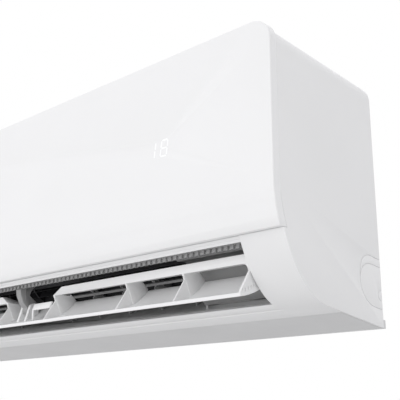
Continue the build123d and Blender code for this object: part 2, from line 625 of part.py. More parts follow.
with BuildPart() as rear_chassis:
    block((-CHASSIS_HALF, CHASSIS_HALF), (BACK_FACE, -BACK_WALL_GAP), (WALL, CHASSIS_TOP))
    block((-HALF, HALF), (-BACK_LIP + SEAT, 0), (0, BACK_LIP_HEIGHT))
    seam_y = FRONT + BOTTOM_SEAM_REACH + BOTTOM_SEAM
    back_y = -BACK_LIP + SEAT
    slab(
        [
            (seam_y, bottom_height(seam_y)),
            (back_y, bottom_height(back_y)),
            (back_y, bottom_height(back_y) + WALL),
            (seam_y, bottom_height(seam_y) + WALL),
        ],
        -CHASSIS_HALF,
        CHASSIS_HALF,
    )
    end_wall(-LEFT_WALL_AT - END_WALL, END_WALL)
    end_wall(FAN_WALL_X, END_WALL)
    # Motor cradle on the floor of the machine room.
    slab(
        [
            (FAN.X + CRADLE_HALF, bottom_height(FAN.X + CRADLE_HALF) + 1),
            (seam_y + 1, bottom_height(seam_y) + 1),
            (seam_y + 1, LIP.Y + 3),
            (BLOCK_FOOT.X + 1, LIP.Y + 3),
            (BLOCK_FOOT.X + 1, BLOCK_FOOT.Y + BLOCK_TOE),
            (FAN.X - CRADLE_HALF, BLOCK_FOOT.Y + 3 * BLOCK_TOE),
            (FAN.X - CRADLE_HALF, CRADLE_TOP),
            (FAN.X + CRADLE_HALF, CRADLE_TOP),
        ],
        *CRADLE_SPAN,
    )
    # Duct floor that runs on into the scroll behind the fan.
    with BuildSketch(side_plane(-LEFT_WALL_AT - 1)):
        with BuildLine():
            Line(DUCT_NEAR, DUCT_FAR)
            TangentArc(DUCT_FAR, SCROLL_TIP, tangent=FLOOR)
            Line(SCROLL_TIP, SCROLL_OUTER_TIP)
            under = DUCT_FAR - FLOOR_UP * CHASSIS_WALL
            TangentArc(under, SCROLL_OUTER_TIP, tangent=FLOOR)
            Polyline(under, DUCT_NEAR - FLOOR_UP * CHASSIS_WALL + FLOOR, DUCT_NEAR)
        make_face()
    extrude(amount=FAN_WALL_X + LEFT_WALL_AT + 2)
    # The duct floor's front strip runs on under the block at the right.
    slab(
        [DUCT_NEAR, BLOCK_FOOT + FLOOR, BLOCK_FOOT + FLOOR - FLOOR_UP * CHASSIS_WALL]
        + [DUCT_NEAR - FLOOR_UP * CHASSIS_WALL + FLOOR],
        FAN_WALL_X - 1,
        OPENING_HALF - SEAM,
    )
    rod(FAN, MOTOR_RADIUS + MOTOR_FIT, CRADLE_SPAN[0] - 1, CRADLE_SPAN[1] + 1, Mode.SUBTRACT)
    rod(FAN, HOLDER_RADIUS + SEAT, -LEFT_WALL_AT - END_WALL - 1, -LEFT_WALL_AT + 1, Mode.SUBTRACT)
    rod(FAN, MOTOR_BOSS + 4, FAN_WALL_X - 1, FAN_WALL_X + END_WALL + 1, Mode.SUBTRACT)
    rod(PIVOT, PIVOT_RADIUS + 5, -LEFT_WALL_AT - END_WALL - 1, -LEFT_WALL_AT + 1, Mode.SUBTRACT)
    # Slots for the wall plate's hooks.
    for at in (-HOOK_AT, HOOK_AT):
        slot_top = HOOK_HEIGHT + HOOK_THICK + SEAT
        block(
            (at - HOOK_WIDTH / 2 - 2, at + HOOK_WIDTH / 2 + 2),
            (BACK_FACE - 1, 0),
            (slot_top - HOOK_LIP - HOOK_THICK - 4, slot_top),
            Mode.SUBTRACT,
        )
    # Room for the heads of the wall plate's screws.
    with BuildSketch(front_plane(1)) as head_room:
        with Locations((0, MOUNT_HEIGHT)):
            with GridLocations(SCREW_SPACING_X, SCREW_SPACING_Z, 2, 2):
                Circle(3 * SCREW_HOLE_RADIUS)
    extrude(head_room.sketch, amount=2 - BACK_FACE, mode=Mode.SUBTRACT)
    # Channel behind the scroll for the pipes, open towards the wall, and their way through the end wall.
    block((-CHANNEL_HALF, CHANNEL_HALF), (BACK_FACE - 1, 1), (CHANNEL_LOW, CHANNEL_HIGH), Mode.SUBTRACT)
    block(
        (FAN_WALL_X - 1, FAN_WALL_X + END_WALL + 1),
        (-CHANNEL_DEPTH, 1),
        (CHANNEL_LOW, CHANNEL_HIGH),
        Mode.SUBTRACT,
    )
    with BuildSketch(side_plane(FAN_WALL_X - 1)) as pipe_holes:
        with Locations(GAS_START):
            Circle(GAS_RADIUS + 1)
        with Locations(LIQUID_START):
            Circle(LIQUID_RADIUS + 1)
    extrude(pipe_holes.sketch, amount=END_WALL + 2, mode=Mode.SUBTRACT)
    # Bores for the vanes' feet.
    for at in VANES_LEFT + VANES_RIGHT:
        with BuildSketch(vane_plane(at, 1)) as bore:
            Circle(VANE_PIN_RADIUS + RUNNING)
        extrude(bore.sketch, amount=-CHASSIS_WALL - 2, mode=Mode.SUBTRACT)
rear_chassis.part.label = "rear_chassis"
export_step(rear_chassis.part, "parts/rear_chassis.step")

# ---------------------------------------------------------------- drain pan, comb and duct end block
FILTER_SEAT = FILTER_BASE.Y - FILTER_THICK / 2 * RISE.X - SEAT
PAN_OUT = PANEL_DEPTH + PANEL_GAP + WALL + 1
PAN_HEIGHTS = (PAN_UNDERSIDE, PAN_UNDERSIDE + 12, PAN_UNDERSIDE + 24, FILTER_SEAT)
PAN_SPAN = (-LEFT_WALL_AT + SEAM, FAN_WALL_X - SEAM)
PAN_Y = FRONT + PAN_BACK
NOSE_Y = FRONT + NOSE_REACH

with BuildPart() as drain_pan:
    outside = [(bend(height, PAN_OUT), height) for height in PAN_HEIGHTS]
    inside = [(bend(height, PAN_OUT) + PAN_WALL, height) for height in PAN_HEIGHTS[1:3]]
    shelf_y = FILTER_BASE.X + 4
    slab(
        outside
        + [(shelf_y, FILTER_SEAT), (shelf_y, FILTER_SEAT - PAN_WALL)]
        + [(inside[1][0], FILTER_SEAT - PAN_WALL), inside[1], inside[0], (inside[0][0] + 1, PAN_FLOOR)]
        + [(PAN_Y, PAN_FLOOR), (PAN_Y, PAN_BACK_TOP), (PAN_Y + PAN_WALL + 1, PAN_BACK_TOP)]
        + [(NOSE_Y, NOSE_LOW), (PAN_Y + 2, NOSE_LOW), (PAN_Y + 2, PAN_UNDERSIDE)],
        *PAN_SPAN,
    )
    # Ends of the trough.
    for start in (PAN_SPAN[0], PAN_SPAN[1] - PAN_WALL):
        block(
            (start, start + PAN_WALL),
            (bend(PAN_FLOOR - 1, PAN_OUT) + 1, PAN_Y + 1),
            (PAN_FLOOR - 1, PAN_FLOOR + 8),
        )
drain_pan.part.label = "drain_pan"
export_step(drain_pan.part, "parts/drain_pan.step")

with BuildPart() as comb_strip:
    comb_y = FRONT + COMB_REACH
    teeth = int(2 * OPENING_HALF / COMB_PITCH)
    block(
        (-OPENING_HALF, OPENING_HALF),
        (bend(PAN_UNDERSIDE, PAN_OUT) + 0.5, comb_y + COMB_THICK),
        (LEDGE - 2, PAN_UNDERSIDE - SEAT),
    )
    block(
        (-OPENING_HALF, OPENING_HALF),
        (comb_y, comb_y + COMB_THICK),
        (COMB_BASE, PAN_UNDERSIDE - SEAT),
    )
    with BuildSketch(front_plane(comb_y + COMB_THICK)) as tooth_row:
        with Locations((0, (COMB_LOW + COMB_BASE) / 2 + 0.5)):
            with GridLocations(COMB_PITCH, 1, teeth, 1):
                Rectangle(COMB_TOOTH, COMB_BASE - COMB_LOW + 1)
    extrude(tooth_row.sketch, amount=COMB_THICK)
comb_strip.part.label = "comb_strip"
export_step(comb_strip.part, "parts/comb_strip.step")

with BuildPart() as duct_end_block:
    scoop_top = PIVOT + Vector(-SWEEP_RADIUS * sin(radians(18)), SWEEP_RADIUS * cos(radians(18)))
    scoop_mid = PIVOT + Vector(SWEEP_RADIUS * cos(radians(30)), SWEEP_RADIUS * sin(radians(30)))
    scoop_low = PIVOT + Vector(SWEEP_RADIUS * cos(radians(12)), -SWEEP_RADIUS * sin(radians(12)))
    block_back = FAN.X - CRADLE_HALF - 1
    with BuildSketch(side_plane(FAN_WALL_X + END_WALL + SEAT)):
        with BuildLine():
            ThreePointArc(scoop_top, scoop_mid, scoop_low)
            Polyline(
                scoop_low,
                BLOCK_FOOT + FLOOR_UP - FLOOR,
                BLOCK_FOOT + FLOOR_UP,
                BLOCK_FOOT + Vector(0, BLOCK_TOE),
                (block_back, BLOCK_FOOT.Y + 3 * BLOCK_TOE),
                (block_back, PAN_UNDERSIDE - 1),
                (scoop_top.X - 2, PAN_UNDERSIDE - 1),
                scoop_top,
            )
        make_face()
    extrude(amount=OPENING_HALF - SEAM - FAN_WALL_X - END_WALL - SEAT)
duct_end_block.part.label = "duct_end_block"
export_step(duct_end_block.part, "parts/duct_end_block.step")

# ---------------------------------------------------------------- cross-flow fan and its drive
with BuildPart() as fan_rotor:
    with BuildSketch(side_plane(FAN_LEFT_X)):
        with Locations((FAN.X, FAN.Y)):
            Circle(FAN_RADIUS)
            Circle(SHAFT_RADIUS + 0.05, mode=Mode.SUBTRACT)
    extrude(amount=FAN_RING_THICK)
    with BuildSketch(side_plane(FAN_RIGHT_X - FAN_RING_THICK)):
        with Locations((FAN.X, FAN.Y)):
            Circle(FAN_RADIUS)
            Circle(SHAFT_RADIUS + 0.05, mode=Mode.SUBTRACT)
    extrude(amount=FAN_RING_THICK)
    ring_pitch = (FAN_RIGHT_X - FAN_LEFT_X - FAN_RING_THICK) / (FAN_RINGS + 1)
    for count in range(FAN_RINGS):
        with BuildSketch(side_plane(FAN_LEFT_X + ring_pitch * (count + 1))):
            with Locations((FAN.X, FAN.Y)):
                Circle(FAN_RADIUS)
                Circle(FAN_RADIUS - FAN_BLADE_LENGTH, mode=Mode.SUBTRACT)
        extrude(amount=FAN_RING_THICK)
    with BuildSketch(side_plane(FAN_LEFT_X + 1)):
        with Locations((FAN.X, FAN.Y)):
            with PolarLocations(FAN_RADIUS - FAN_BLADE_LENGTH / 2, FAN_BLADES):
                Rectangle(FAN_BLADE_LENGTH - 1, FAN_BLADE_THICK, rotation=FAN_PITCH)
    extrude(amount=FAN_RIGHT_X - FAN_LEFT_X - 2)
fan_rotor.part.label = "fan_rotor"
export_step(fan_rotor.part, "parts/fan_rotor.step")

BEARING_LEFT = -LEFT_WALL_AT - END_WALL
BEARING_RIGHT = FAN_LEFT_X - 2
with BuildPart() as fan_shaft:
    rod(FAN, SHAFT_RADIUS, BEARING_LEFT, MOTOR_FACE + MOTOR_SETBACK)
fan_shaft.part.label = "fan_shaft"
export_step(fan_shaft.part, "parts/fan_shaft.step")

with BuildPart() as fan_bearing:
    rod(FAN, BEARING_RADIUS, BEARING_LEFT + 1, BEARING_RIGHT)
    rod(FAN, SHAFT_RADIUS + RUNNING, BEARING_LEFT, BEARING_RIGHT + 1, Mode.SUBTRACT)
fan_bearing.part.label = "fan_bearing"
export_step(fan_bearing.part, "parts/fan_bearing.step")

with BuildPart() as bearing_holder:
    rod(FAN, HOLDER_RADIUS, BEARING_LEFT - SEAT - 1, BEARING_RIGHT - 2)
    rod(FAN, HOLDER_RADIUS + 5, BEARING_LEFT - SEAT - 2, BEARING_LEFT - SEAT)
    rod(FAN, BEARING_RADIUS + 0.1, BEARING_LEFT - SEAT, BEARING_RIGHT, Mode.SUBTRACT)
bearing_holder.part.label = "bearing_holder"
export_step(bearing_holder.part, "parts/bearing_holder.step")

with BuildPart() as fan_motor:
    rod(FAN, MOTOR_RADIUS, MOTOR_FACE, MOTOR_BACK)
    fillet(fan_motor.edges().filter_by(GeomType.CIRCLE), radius=4)
    rod(FAN, MOTOR_BOSS, MOTOR_FACE - 4, MOTOR_FACE + 1)
    rod(FAN, SHAFT_RADIUS + RUNNING, MOTOR_FACE - 5, MOTOR_FACE + MOTOR_SETBACK + 1, Mode.SUBTRACT)
fan_motor.part.label = "fan_motor"
export_step(fan_motor.part, "parts/fan_motor.step")

with BuildPart() as motor_clamp:
    middle = (CRADLE_SPAN[0] + CRADLE_SPAN[1] - CLAMP_WIDTH) / 2
    rod(FAN, MOTOR_RADIUS + MOTOR_FIT + CLAMP_THICK, middle, middle + CLAMP_WIDTH)
    rod(FAN, MOTOR_RADIUS + MOTOR_FIT, middle - 1, middle + CLAMP_WIDTH + 1, Mode.SUBTRACT)
    block(
        (middle - 1, middle + CLAMP_WIDTH + 1),
        (FAN.X - 2 * MOTOR_RADIUS, FAN.X + 2 * MOTOR_RADIUS),
        (0, CRADLE_TOP + SEAT),
        Mode.SUBTRACT,
    )
motor_clamp.part.label = "motor_clamp"
export_step(motor_clamp.part, "parts/motor_clamp.step")

# ---------------------------------------------------------------- heat exchanger
COIL_FOOT = FILTER_BASE + INWARD * COIL_BEHIND_FILTER
COIL_LENGTH = (CASING_TOP - COIL_ROOM - COIL_FOOT.Y) / RISE.Y
FRONT_BANK_TOP = COIL_FOOT + RISE * COIL_LENGTH + INWARD * COIL_THICK
REAR_TOP = Vector(FRONT_BANK_TOP.X + REAR_COIL_SETBACK, CASING_TOP - REAR_COIL_DROP)
REAR_FALL = Vector(BACK_FACE - REAR_COIL_GAP, REAR_COIL_FOOT) - REAR_TOP
REAR_LENGTH = REAR_FALL.length
REAR_DOWN = REAR_FALL.normalized()
REAR_INWARD = Vector(REAR_DOWN.Y, -REAR_DOWN.X)
PLATE_METAL = 1.5
COIL_SPAN = (-COIL_END + PLATE_METAL + SEAT, COIL_RIGHT - PLATE_METAL - SEAT)
FRONT_COIL = [
    COIL_FOOT,
    COIL_FOOT + RISE * COIL_LENGTH,
    FRONT_BANK_TOP,
    COIL_FOOT + INWARD * COIL_THICK,
]
REAR_COIL = [
    REAR_TOP,
    REAR_TOP + REAR_DOWN * REAR_LENGTH,
    REAR_TOP + REAR_DOWN * REAR_LENGTH + REAR_INWARD * COIL_THICK,
    REAR_TOP + REAR_INWARD * COIL_THICK,
]

with BuildPart() as evaporator_front:
    slab(FRONT_COIL, *COIL_SPAN)
evaporator_front.part.label = "evaporator_front"
export_step(evaporator_front.part, "parts/evaporator_front.step")

with BuildPart() as evaporator_rear:
    slab(REAR_COIL, *COIL_SPAN)
evaporator_rear.part.label = "evaporator_rear"
export_step(evaporator_rear.part, "parts/evaporator_rear.step")

with BuildPart() as evaporator_end_plates:
    for start in (-COIL_END, COIL_RIGHT - PLATE_METAL):
        span = (start, start + PLATE_METAL)
        slab(FRONT_COIL, *span)
        slab([FRONT_COIL[2], REAR_COIL[0], REAR_COIL[3], FRONT_COIL[2] - RISE * 40], *span)
        slab(REAR_COIL, *span)
        foot_y = FRONT_COIL[3].X - 8
        block(span, (foot_y - 8, foot_y), (PAN_FLOOR + SEAT, FRONT_COIL[3].Y + 6))
        back_y = REAR_COIL[1].X
        block(span, (back_y - 6, BACK_FACE - SEAT), (REAR_COIL[1].Y, REAR_COIL[1].Y + 12))
evaporator_end_plates.part.label = "evaporator_end_plates"
export_step(evaporator_end_plates.part, "parts/evaporator_end_plates.step")


def tube_places(corner, along, length, across):
    """Middles of the return bends over one bank's end."""
    pairs = int(length / (2 * TUBE_PITCH))
    first = corner + across * (COIL_THICK - TUBE_ROW) / 2 + along * (length - (pairs - 1) * 2 * TUBE_PITCH) / 2
    return [first + along * (2 * TUBE_PITCH * n) + across * TUBE_ROW * row for row in (0, 1) for n in range(pairs)]


with BuildPart() as tube_bends:
    # Half-round copper bends that join the tubes in pairs at the coil's left end.
    banks = (
        (COIL_FOOT, RISE, COIL_LENGTH, INWARD),
        (REAR_TOP, REAR_DOWN, REAR_LENGTH, REAR_INWARD),
    )
    for corner, along, length, across in banks:
        for middle in tube_places(corner, along, length, across):
            start = middle - along * TUBE_PITCH / 2
            centre = Vector(-COIL_END - SEAT, middle.X, BOTTOM + middle.Y)
            bend_plane = Plane(
                origin=(-COIL_END - SEAT, start.X, BOTTOM + start.Y),
                x_dir=(0, along.X, along.Y),
                z_dir=(-1, 0, 0),
            )
            turn_axis = Axis(origin=centre, direction=Vector(0, along.X, along.Y).cross(Vector(1, 0, 0)))
            with BuildSketch(bend_plane) as tube:
                Circle(TUBE_RADIUS)
            revolve(tube.sketch, axis=turn_axis, revolution_arc=180)
tube_bends.part.label = "tube_bends"
export_step(tube_bends.part, "parts/tube_bends.step")


def pipe(start, down_x, low, radius):
    """Pipe from the coil's right end, down behind the motor and along the rear channel."""
    with BuildLine() as route:
        FilletPolyline(
            (COIL_RIGHT + SEAT, start[0], BOTTOM + start[1]),
            (down_x, start[0], BOTTOM + start[1]),
            (down_x, -PIPE_BACK, BOTTOM + start[1] - PIPE_BEND * 2),
            (down_x, -PIPE_BACK, BOTTOM + low),
            (PIPE_END + NUT_LENGTH, -PIPE_BACK, BOTTOM + low),
            radius=PIPE_BEND * 0.6,
        )
    with BuildSketch(Plane(origin=route.line @ 0, z_dir=route.line % 0)) as section:
        Circle(radius)
    sweep(section.sketch, path=route.line)


with BuildPart() as gas_pipe:
    pipe(GAS_START, GAS_X, GAS_LOW, GAS_RADIUS)
gas_pipe.part.label = "gas_pipe"
export_step(gas_pipe.part, "parts/gas_pipe.step")

with BuildPart() as liquid_pipe:
    pipe(LIQUID_START, LIQUID_X, LIQUID_LOW, LIQUID_RADIUS)
liquid_pipe.part.label = "liquid_pipe"
export_step(liquid_pipe.part, "parts/liquid_pipe.step")

with BuildPart() as flare_nuts:
    for low, radius in ((GAS_LOW, GAS_RADIUS), (LIQUID_LOW, LIQUID_RADIUS)):
        with BuildSketch(side_plane(PIPE_END)) as nut:
            with Locations((-PIPE_BACK, low)):
                RegularPolygon(radius + 3, 6)
                Circle(radius + 0.05, mode=Mode.SUBTRACT)
        extrude(nut.sketch, amount=NUT_LENGTH * 1.5)
flare_nuts.part.label = "flare_nuts"
export_step(flare_nuts.part, "parts/flare_nuts.step")

# ---------------------------------------------------------------- front panel and display
def panel_side(shallow, deep, low, high):
    """Side view of the panel between two depths behind its face."""
    outer = PANEL_BEND_RADIUS - shallow
    inner = PANEL_BEND_RADIUS - deep
    outer_turn = degrees(asin((PANEL_BEND_HEIGHT - low) / outer))
    inner_turn = degrees(asin((PANEL_BEND_HEIGHT - low) / inner))
    with BuildSketch(side_plane(-HALF)) as face:
        with BuildLine():
            front = JernArc(
                start=(FRONT + shallow, PANEL_BEND_HEIGHT), tangent=(0, -1), radius=outer, arc_size=outer_turn
            )
            back = JernArc(
                start=(FRONT + deep, PANEL_BEND_HEIGHT), tangent=(0, -1), radius=inner, arc_size=inner_turn
            )
            Line(front @ 1, back @ 1)
            Polyline(front @ 0, (FRONT + shallow, high), (FRONT + deep, high), back @ 0)
        make_face()
    return face


def segment(left, from_u, from_v, to_u, to_v, grow):
    """One slanted bar of a digit, standing on its front_plane sketch."""
    half = DIGIT_STROKE / 2 + grow
    across = (0, half) if from_v == to_v else (half, 0)
    more = (grow, 0) if from_v == to_v else (0, grow)
    corners = []
    for end, sign in (((from_u, from_v), -1), ((to_u, to_v), 1)):
        for side in (sign, -sign):
            u = end[0] + sign * more[0] + side * across[0]
            v = end[1] + sign * more[1] + side * across[1]
            corners.append((left + u + DIGIT_SLANT * v, DIGIT_BASE + v))
    Polygon(*corners, align=None)


def digits(grow):
    """Lit bars of the display: a one and an eight."""
    space = DIGIT_STROKE / 2 + 0.3
    middle = DIGIT_HEIGHT / 2
    with BuildSketch(front_plane(FRONT)) as bars:
        for low, high in ((0, middle), (middle, DIGIT_HEIGHT)):
            segment(ONE_AT, 0, low + space, 0, high - space, grow)
            segment(EIGHT_LEFT, 0, low + space, 0, high - space, grow)
            segment(EIGHT_LEFT, DIGIT_WIDTH, low + space, DIGIT_WIDTH, high - space, grow)
        for level in (0, middle, DIGIT_HEIGHT):
            segment(EIGHT_LEFT, space, level, DIGIT_WIDTH - space, level, grow)
    return bars


with BuildPart() as front_panel:
    extrude(panel_side(0, PANEL_DEPTH, PANEL_BOTTOM, HEIGHT).sketch, amount=WIDTH)
    corners = front_panel.edges().filter_by(Axis.Y).group_by(Axis.Z)[-1]
    fillet(corners, radius=PANEL_CORNER)
    rounded = front_panel.edges().filter_by(lambda edge: edge.center().Y < FRONT + 0.1)
    rounded = rounded.filter_by(lambda edge: edge.center().Z > BOTTOM + PANEL_BEND_HEIGHT + 1)
    fillet(rounded, radius=PANEL_EDGE)
    # Hollow back that leaves the skin and its rim.
    hollow = panel_side(PANEL_SKIN, PANEL_DEPTH + 1, PANEL_BOTTOM + PANEL_SIDE_WALL, HEIGHT - PANEL_SIDE_WALL)
    with BuildPart(mode=Mode.PRIVATE) as core:
        extrude(hollow.sketch, amount=WIDTH)
        block((-HALF - 1, -HALF + PANEL_SIDE_WALL), (FRONT - 1, 0), (0, HEIGHT), Mode.SUBTRACT)
        block((HALF - PANEL_SIDE_WALL, HALF + 1), (FRONT - 1, 0), (0, HEIGHT), Mode.SUBTRACT)
        upright = core.edges().filter_by(Axis.Y).group_by(Axis.Z)[-1]
        fillet(upright, radius=PANEL_CORNER - PANEL_SIDE_WALL)
    add(core.part, mode=Mode.SUBTRACT)
    # Arms with the hinge pins.
    for side in (-1, 1):
        near = side * (PANEL_ARM_AT - PANEL_ARM_THICK / 2)
        far = side * (PANEL_ARM_AT + PANEL_ARM_THICK / 2)
        span = sorted((near, far))
        rod(PANEL_PIVOT, PANEL_HUB, *span)
        block(
            span,
            (FRONT + PANEL_SKIN / 2, PANEL_PIVOT.X),
            (PANEL_PIVOT.Y - PANEL_HUB + 1, PANEL_PIVOT.Y + PANEL_HUB - 1),
        )
        rod(PANEL_PIVOT, PANEL_PIN_RADIUS, *sorted((near + side, near - side * BEARING_LENGTH)))
    extrude(digits(0.05).sketch, amount=-DIGIT_DEPTH, mode=Mode.SUBTRACT)
front_panel.part.label = "front_panel"
export_step(front_panel.part, "parts/front_panel.step")

with BuildPart() as display_digits:
    extrude(digits(0).sketch, amount=-DIGIT_DEPTH + 0.02)
display_digits.part.label = "display_digits"
export_step(display_digits.part, "parts/display_digits.step")

BEHIND_SKIN = FRONT + PANEL_SKIN + SEAT
with BuildPart() as display_housing:
    block((DISPLAY_LEFT, DISPLAY_RIGHT), (BEHIND_SKIN, BEHIND_SKIN + DISPLAY_DEPTH), (DISPLAY_LOW, DISPLAY_HIGH))
    block(
        (DISPLAY_LEFT + BOX_WALL, DISPLAY_RIGHT - BOX_WALL),
        (BEHIND_SKIN - 1, BEHIND_SKIN + DISPLAY_DEPTH - BOX_WALL),
        (DISPLAY_LOW + BOX_WALL, DISPLAY_HIGH - BOX_WALL),
        Mode.SUBTRACT,
    )
display_housing.part.label = "display_housing"
export_step(display_housing.part, "parts/display_housing.step")

with BuildPart() as panel_stiffener:
    with BuildSketch(front_plane(BEHIND_SKIN + STIFFENER_DEPTH)):
        with Locations((0, (STIFFENER_LOW + STIFFENER_HIGH) / 2)):
            Rectangle(2 * STIFFENER_HALF, STIFFENER_HIGH - STIFFENER_LOW)
            cell = (2 * STIFFENER_HALF - STIFFENER_BAR) / STIFFENER_CELLS
            for low, high in ((STIFFENER_LOW, STIFFENER_RAIL), (STIFFENER_RAIL, STIFFENER_HIGH - STIFFENER_BAR)):
                with Locations((0, (low + high + STIFFENER_BAR) / 2 - (STIFFENER_LOW + STIFFENER_HIGH) / 2)):
                    with GridLocations(cell, 1, STIFFENER_CELLS, 1):
                        Rectangle(cell - STIFFENER_BAR, high - low - STIFFENER_BAR, mode=Mode.SUBTRACT)
    extrude(amount=STIFFENER_DEPTH)
    # Room for the display housing, wherever the bars fall.
    block(
        (DISPLAY_LEFT - SEAT, DISPLAY_RIGHT + SEAT),
        (BEHIND_SKIN - 1, BEHIND_SKIN + DISPLAY_DEPTH + 1),
        (DISPLAY_LOW - SEAT, DISPLAY_HIGH + SEAT),
        Mode.SUBTRACT,
    )
panel_stiffener.part.label = "panel_stiffener"
export_step(panel_stiffener.part, "parts/panel_stiffener.step")

with BuildPart() as casing_screws:
    for at, height in SCREW_PLACES:
        with BuildSketch(front_plane(CASING_FRONT - SEAT)) as head:
            with Locations((at, height)):
                Circle(SCREW_HEAD_RADIUS)
                Rectangle(SCREW_HEAD_RADIUS, 0.8, mode=Mode.SUBTRACT)
                Rectangle(0.8, SCREW_HEAD_RADIUS, mode=Mode.SUBTRACT)
        extrude(head.sketch, amount=SCREW_RADIUS)
        with BuildSketch(front_plane(CASING_FRONT + 10)) as shank:
            with Locations((at, height)):
                Circle(SCREW_RADIUS)
        extrude(shank.sketch, amount=10 + SEAT + 0.5)
casing_screws.part.label = "casing_screws"
export_step(casing_screws.part, "parts/casing_screws.step")

# ---------------------------------------------------------------- electric box
BOX_X = (FAN_WALL_X + END_WALL + SEAT, HALF - BOX_RIGHT)
BOX_FRONT = CASING_FRONT + WALL + 3.5
BOX_BACK = BOX_FRONT + BOX_DEPTH
BOARD_Y = BOX_BACK - BOARD_SETBACK

with BuildPart() as electric_box:
    block(BOX_X, (BOX_FRONT, BOX_BACK), (BOX_BOTTOM, BOX_TOP))
    block(
        (BOX_X[0] + BOX_WALL, BOX_X[1] - BOX_WALL),
        (BOX_FRONT - 1, BOX_BACK - BOX_WALL),
        (BOX_BOTTOM + BOX_WALL, BOX_TOP - BOX_WALL),
        Mode.SUBTRACT,
    )
    # Standoffs for the board.
    with BuildSketch(front_plane(BOX_BACK - BOX_WALL / 2)) as standoffs:
        with Locations(((BOX_X[0] + BOX_X[1]) / 2, (BOX_BOTTOM + BOX_TOP) / 2)):
            with GridLocations(BOX_X[1] - BOX_X[0] - 30, BOX_TOP - BOX_BOTTOM - 30, 2, 2):
                Circle(4)
    extrude(standoffs.sketch, amount=BOARD_SETBACK - BOX_WALL / 2 - SEAT)
electric_box.part.label = "electric_box"
export_step(electric_box.part, "parts/electric_box.step")

with BuildPart() as electric_box_cover:
    block(BOX_X, (BOX_FRONT - SEAT - BOX_WALL, BOX_FRONT - SEAT), (BOX_BOTTOM, BOX_TOP))
    with BuildSketch(front_plane(BOX_FRONT - BOX_WALL - 1)) as button_room:
        with Locations((BUTTON_AT, BUTTON_HEIGHT)):
            Circle(BUTTON_RADIUS + 3)
    extrude(button_room.sketch, amount=-2 * BOX_WALL, mode=Mode.SUBTRACT)
electric_box_cover.part.label = "electric_box_cover"
export_step(electric_box_cover.part, "parts/electric_box_cover.step")

BOARD_X = (BOX_X[0] + BOX_WALL + 3, BOX_X[1] - BOX_WALL - 3)
with BuildPart() as control_board:
    block(BOARD_X, (BOARD_Y - BOARD_THICK, BOARD_Y), (BOX_BOTTOM + 6, BOX_TOP - 6))
control_board.part.label = "control_board"
export_step(control_board.part, "parts/control_board.step")

BOARD_FACE = BOARD_Y - BOARD_THICK - SEAT
with BuildPart() as terminal_block:
    block((BOARD_X[0] + 6, BOARD_X[0] + 56), (BOARD_FACE - 14, BOARD_FACE), (BOX_BOTTOM + 30, BOX_BOTTOM + 48))
    with BuildSketch(front_plane(BOARD_FACE - 15)) as wells:
        with Locations((BOARD_X[0] + 31, BOX_BOTTOM + 39)):
            with GridLocations(12, 1, 4, 1):
                Circle(3)
    extrude(wells.sketch, amount=-9, mode=Mode.SUBTRACT)
terminal_block.part.label = "terminal_block"
export_step(terminal_block.part, "parts/terminal_block.step")

with BuildPart() as cable_clamp:
    low = BOX_BOTTOM + BOX_WALL + SEAT
    block((BOARD_X[0] + 16, BOARD_X[0] + 46), (BOARD_FACE - 14, BOARD_FACE - 4), (low, low + 10))
    with BuildSketch(front_plane(BOARD_FACE)) as cable_way:
        with Locations((BOARD_X[0] + 31, low + 5)):
            RectangleRounded(18, 5, 2.4)
    extrude(cable_way.sketch, amount=20, mode=Mode.SUBTRACT)
cable_clamp.part.label = "cable_clamp"
export_step(cable_clamp.part, "parts/cable_clamp.step")

with BuildPart() as test_button:
    with BuildSketch(front_plane(CASING_FRONT + 10)):
        with Locations((BUTTON_AT, BUTTON_HEIGHT)):
            Circle(BUTTON_RADIUS)
    extrude(amount=10 + 0.3)
    with BuildSketch(front_plane(CASING_FRONT + WALL + SEAT + 1)):
        with Locations((BUTTON_AT, BUTTON_HEIGHT)):
            Circle(BUTTON_RADIUS + 1.5)
    extrude(amount=1)
test_button.part.label = "test_button"
export_step(test_button.part, "parts/test_button.step")

# ---------------------------------------------------------------- louvre
def about_pivot(*offsets):
    """Points of a side view, given from the louvre's pivot."""
    return [PIVOT + Vector(*offset) for offset in offsets]


BLADE_OUTER = ((-31.0, -26.1), (-2.8, -17.1), (21.5, -0.7))
BLADE_INNER = ((17.5, 4.5), (-3.0, -12.8), (-31.0, -22.2))
BLADE_CORE = ((4.0, -9.8), (-3.0, -15.0), (-20.0, -21.8), (-30.0, -24.0))
END_SLOTS = ((-27.0, -19.3), (-22.9, -18.2), (-18.4, -16.7), (-13.8, -14.9), (-9.4, -12.9), (-5.0, -10.6))
RIB_THIN = ((-34.0, -24.0), (-18.5, 4.0), (-14.6, 7.6), (-5.4, -13.0), (-10.0, -24.0))
RIB_POCKET = 0.6  # set-back of a rib's thin front corner, each side
BAR_CUT = 16.0  # slanting inner end of the bar
BAR_CORNER = 7.0  # rounded corner under the bar's outer end
LOUVRE_BAR = ((-16.5, 8.8), (-15.5, 18.6), (-8.0, 19.5), (8.5, 14.6), (8.0, 13.6))
LOUVRE_RIB = ((-31.0, -22.2), (-14.3, 2.6), (-16.5, 8.8), (8.0, 14.1), (17.5, 6.7), (17.5, 3.5))


def blade_outline(x):
    """Curved blade, as thick at its front edge as in its middle."""
    with BuildSketch(side_plane(x)) as outline:
        with BuildLine():
            outer = ThreePointArc(*about_pivot(*BLADE_OUTER))
            inner = ThreePointArc(*about_pivot(*BLADE_INNER))
            Line(outer @ 1, inner @ 0)
            Line(inner @ 1, outer @ 0)
        make_face()
    return outline


def rib(x, thick):
    """Side rib that stands on the blade and carries the bar."""
    with BuildSketch(side_plane(x)) as outline:
        with BuildLine():
            Polyline(*about_pivot(*LOUVRE_RIB, *BLADE_CORE), close=True)
        make_face()
        add(blade_outline(x).sketch_local, mode=Mode.SUBTRACT)
    extrude(outline.sketch, amount=thick)


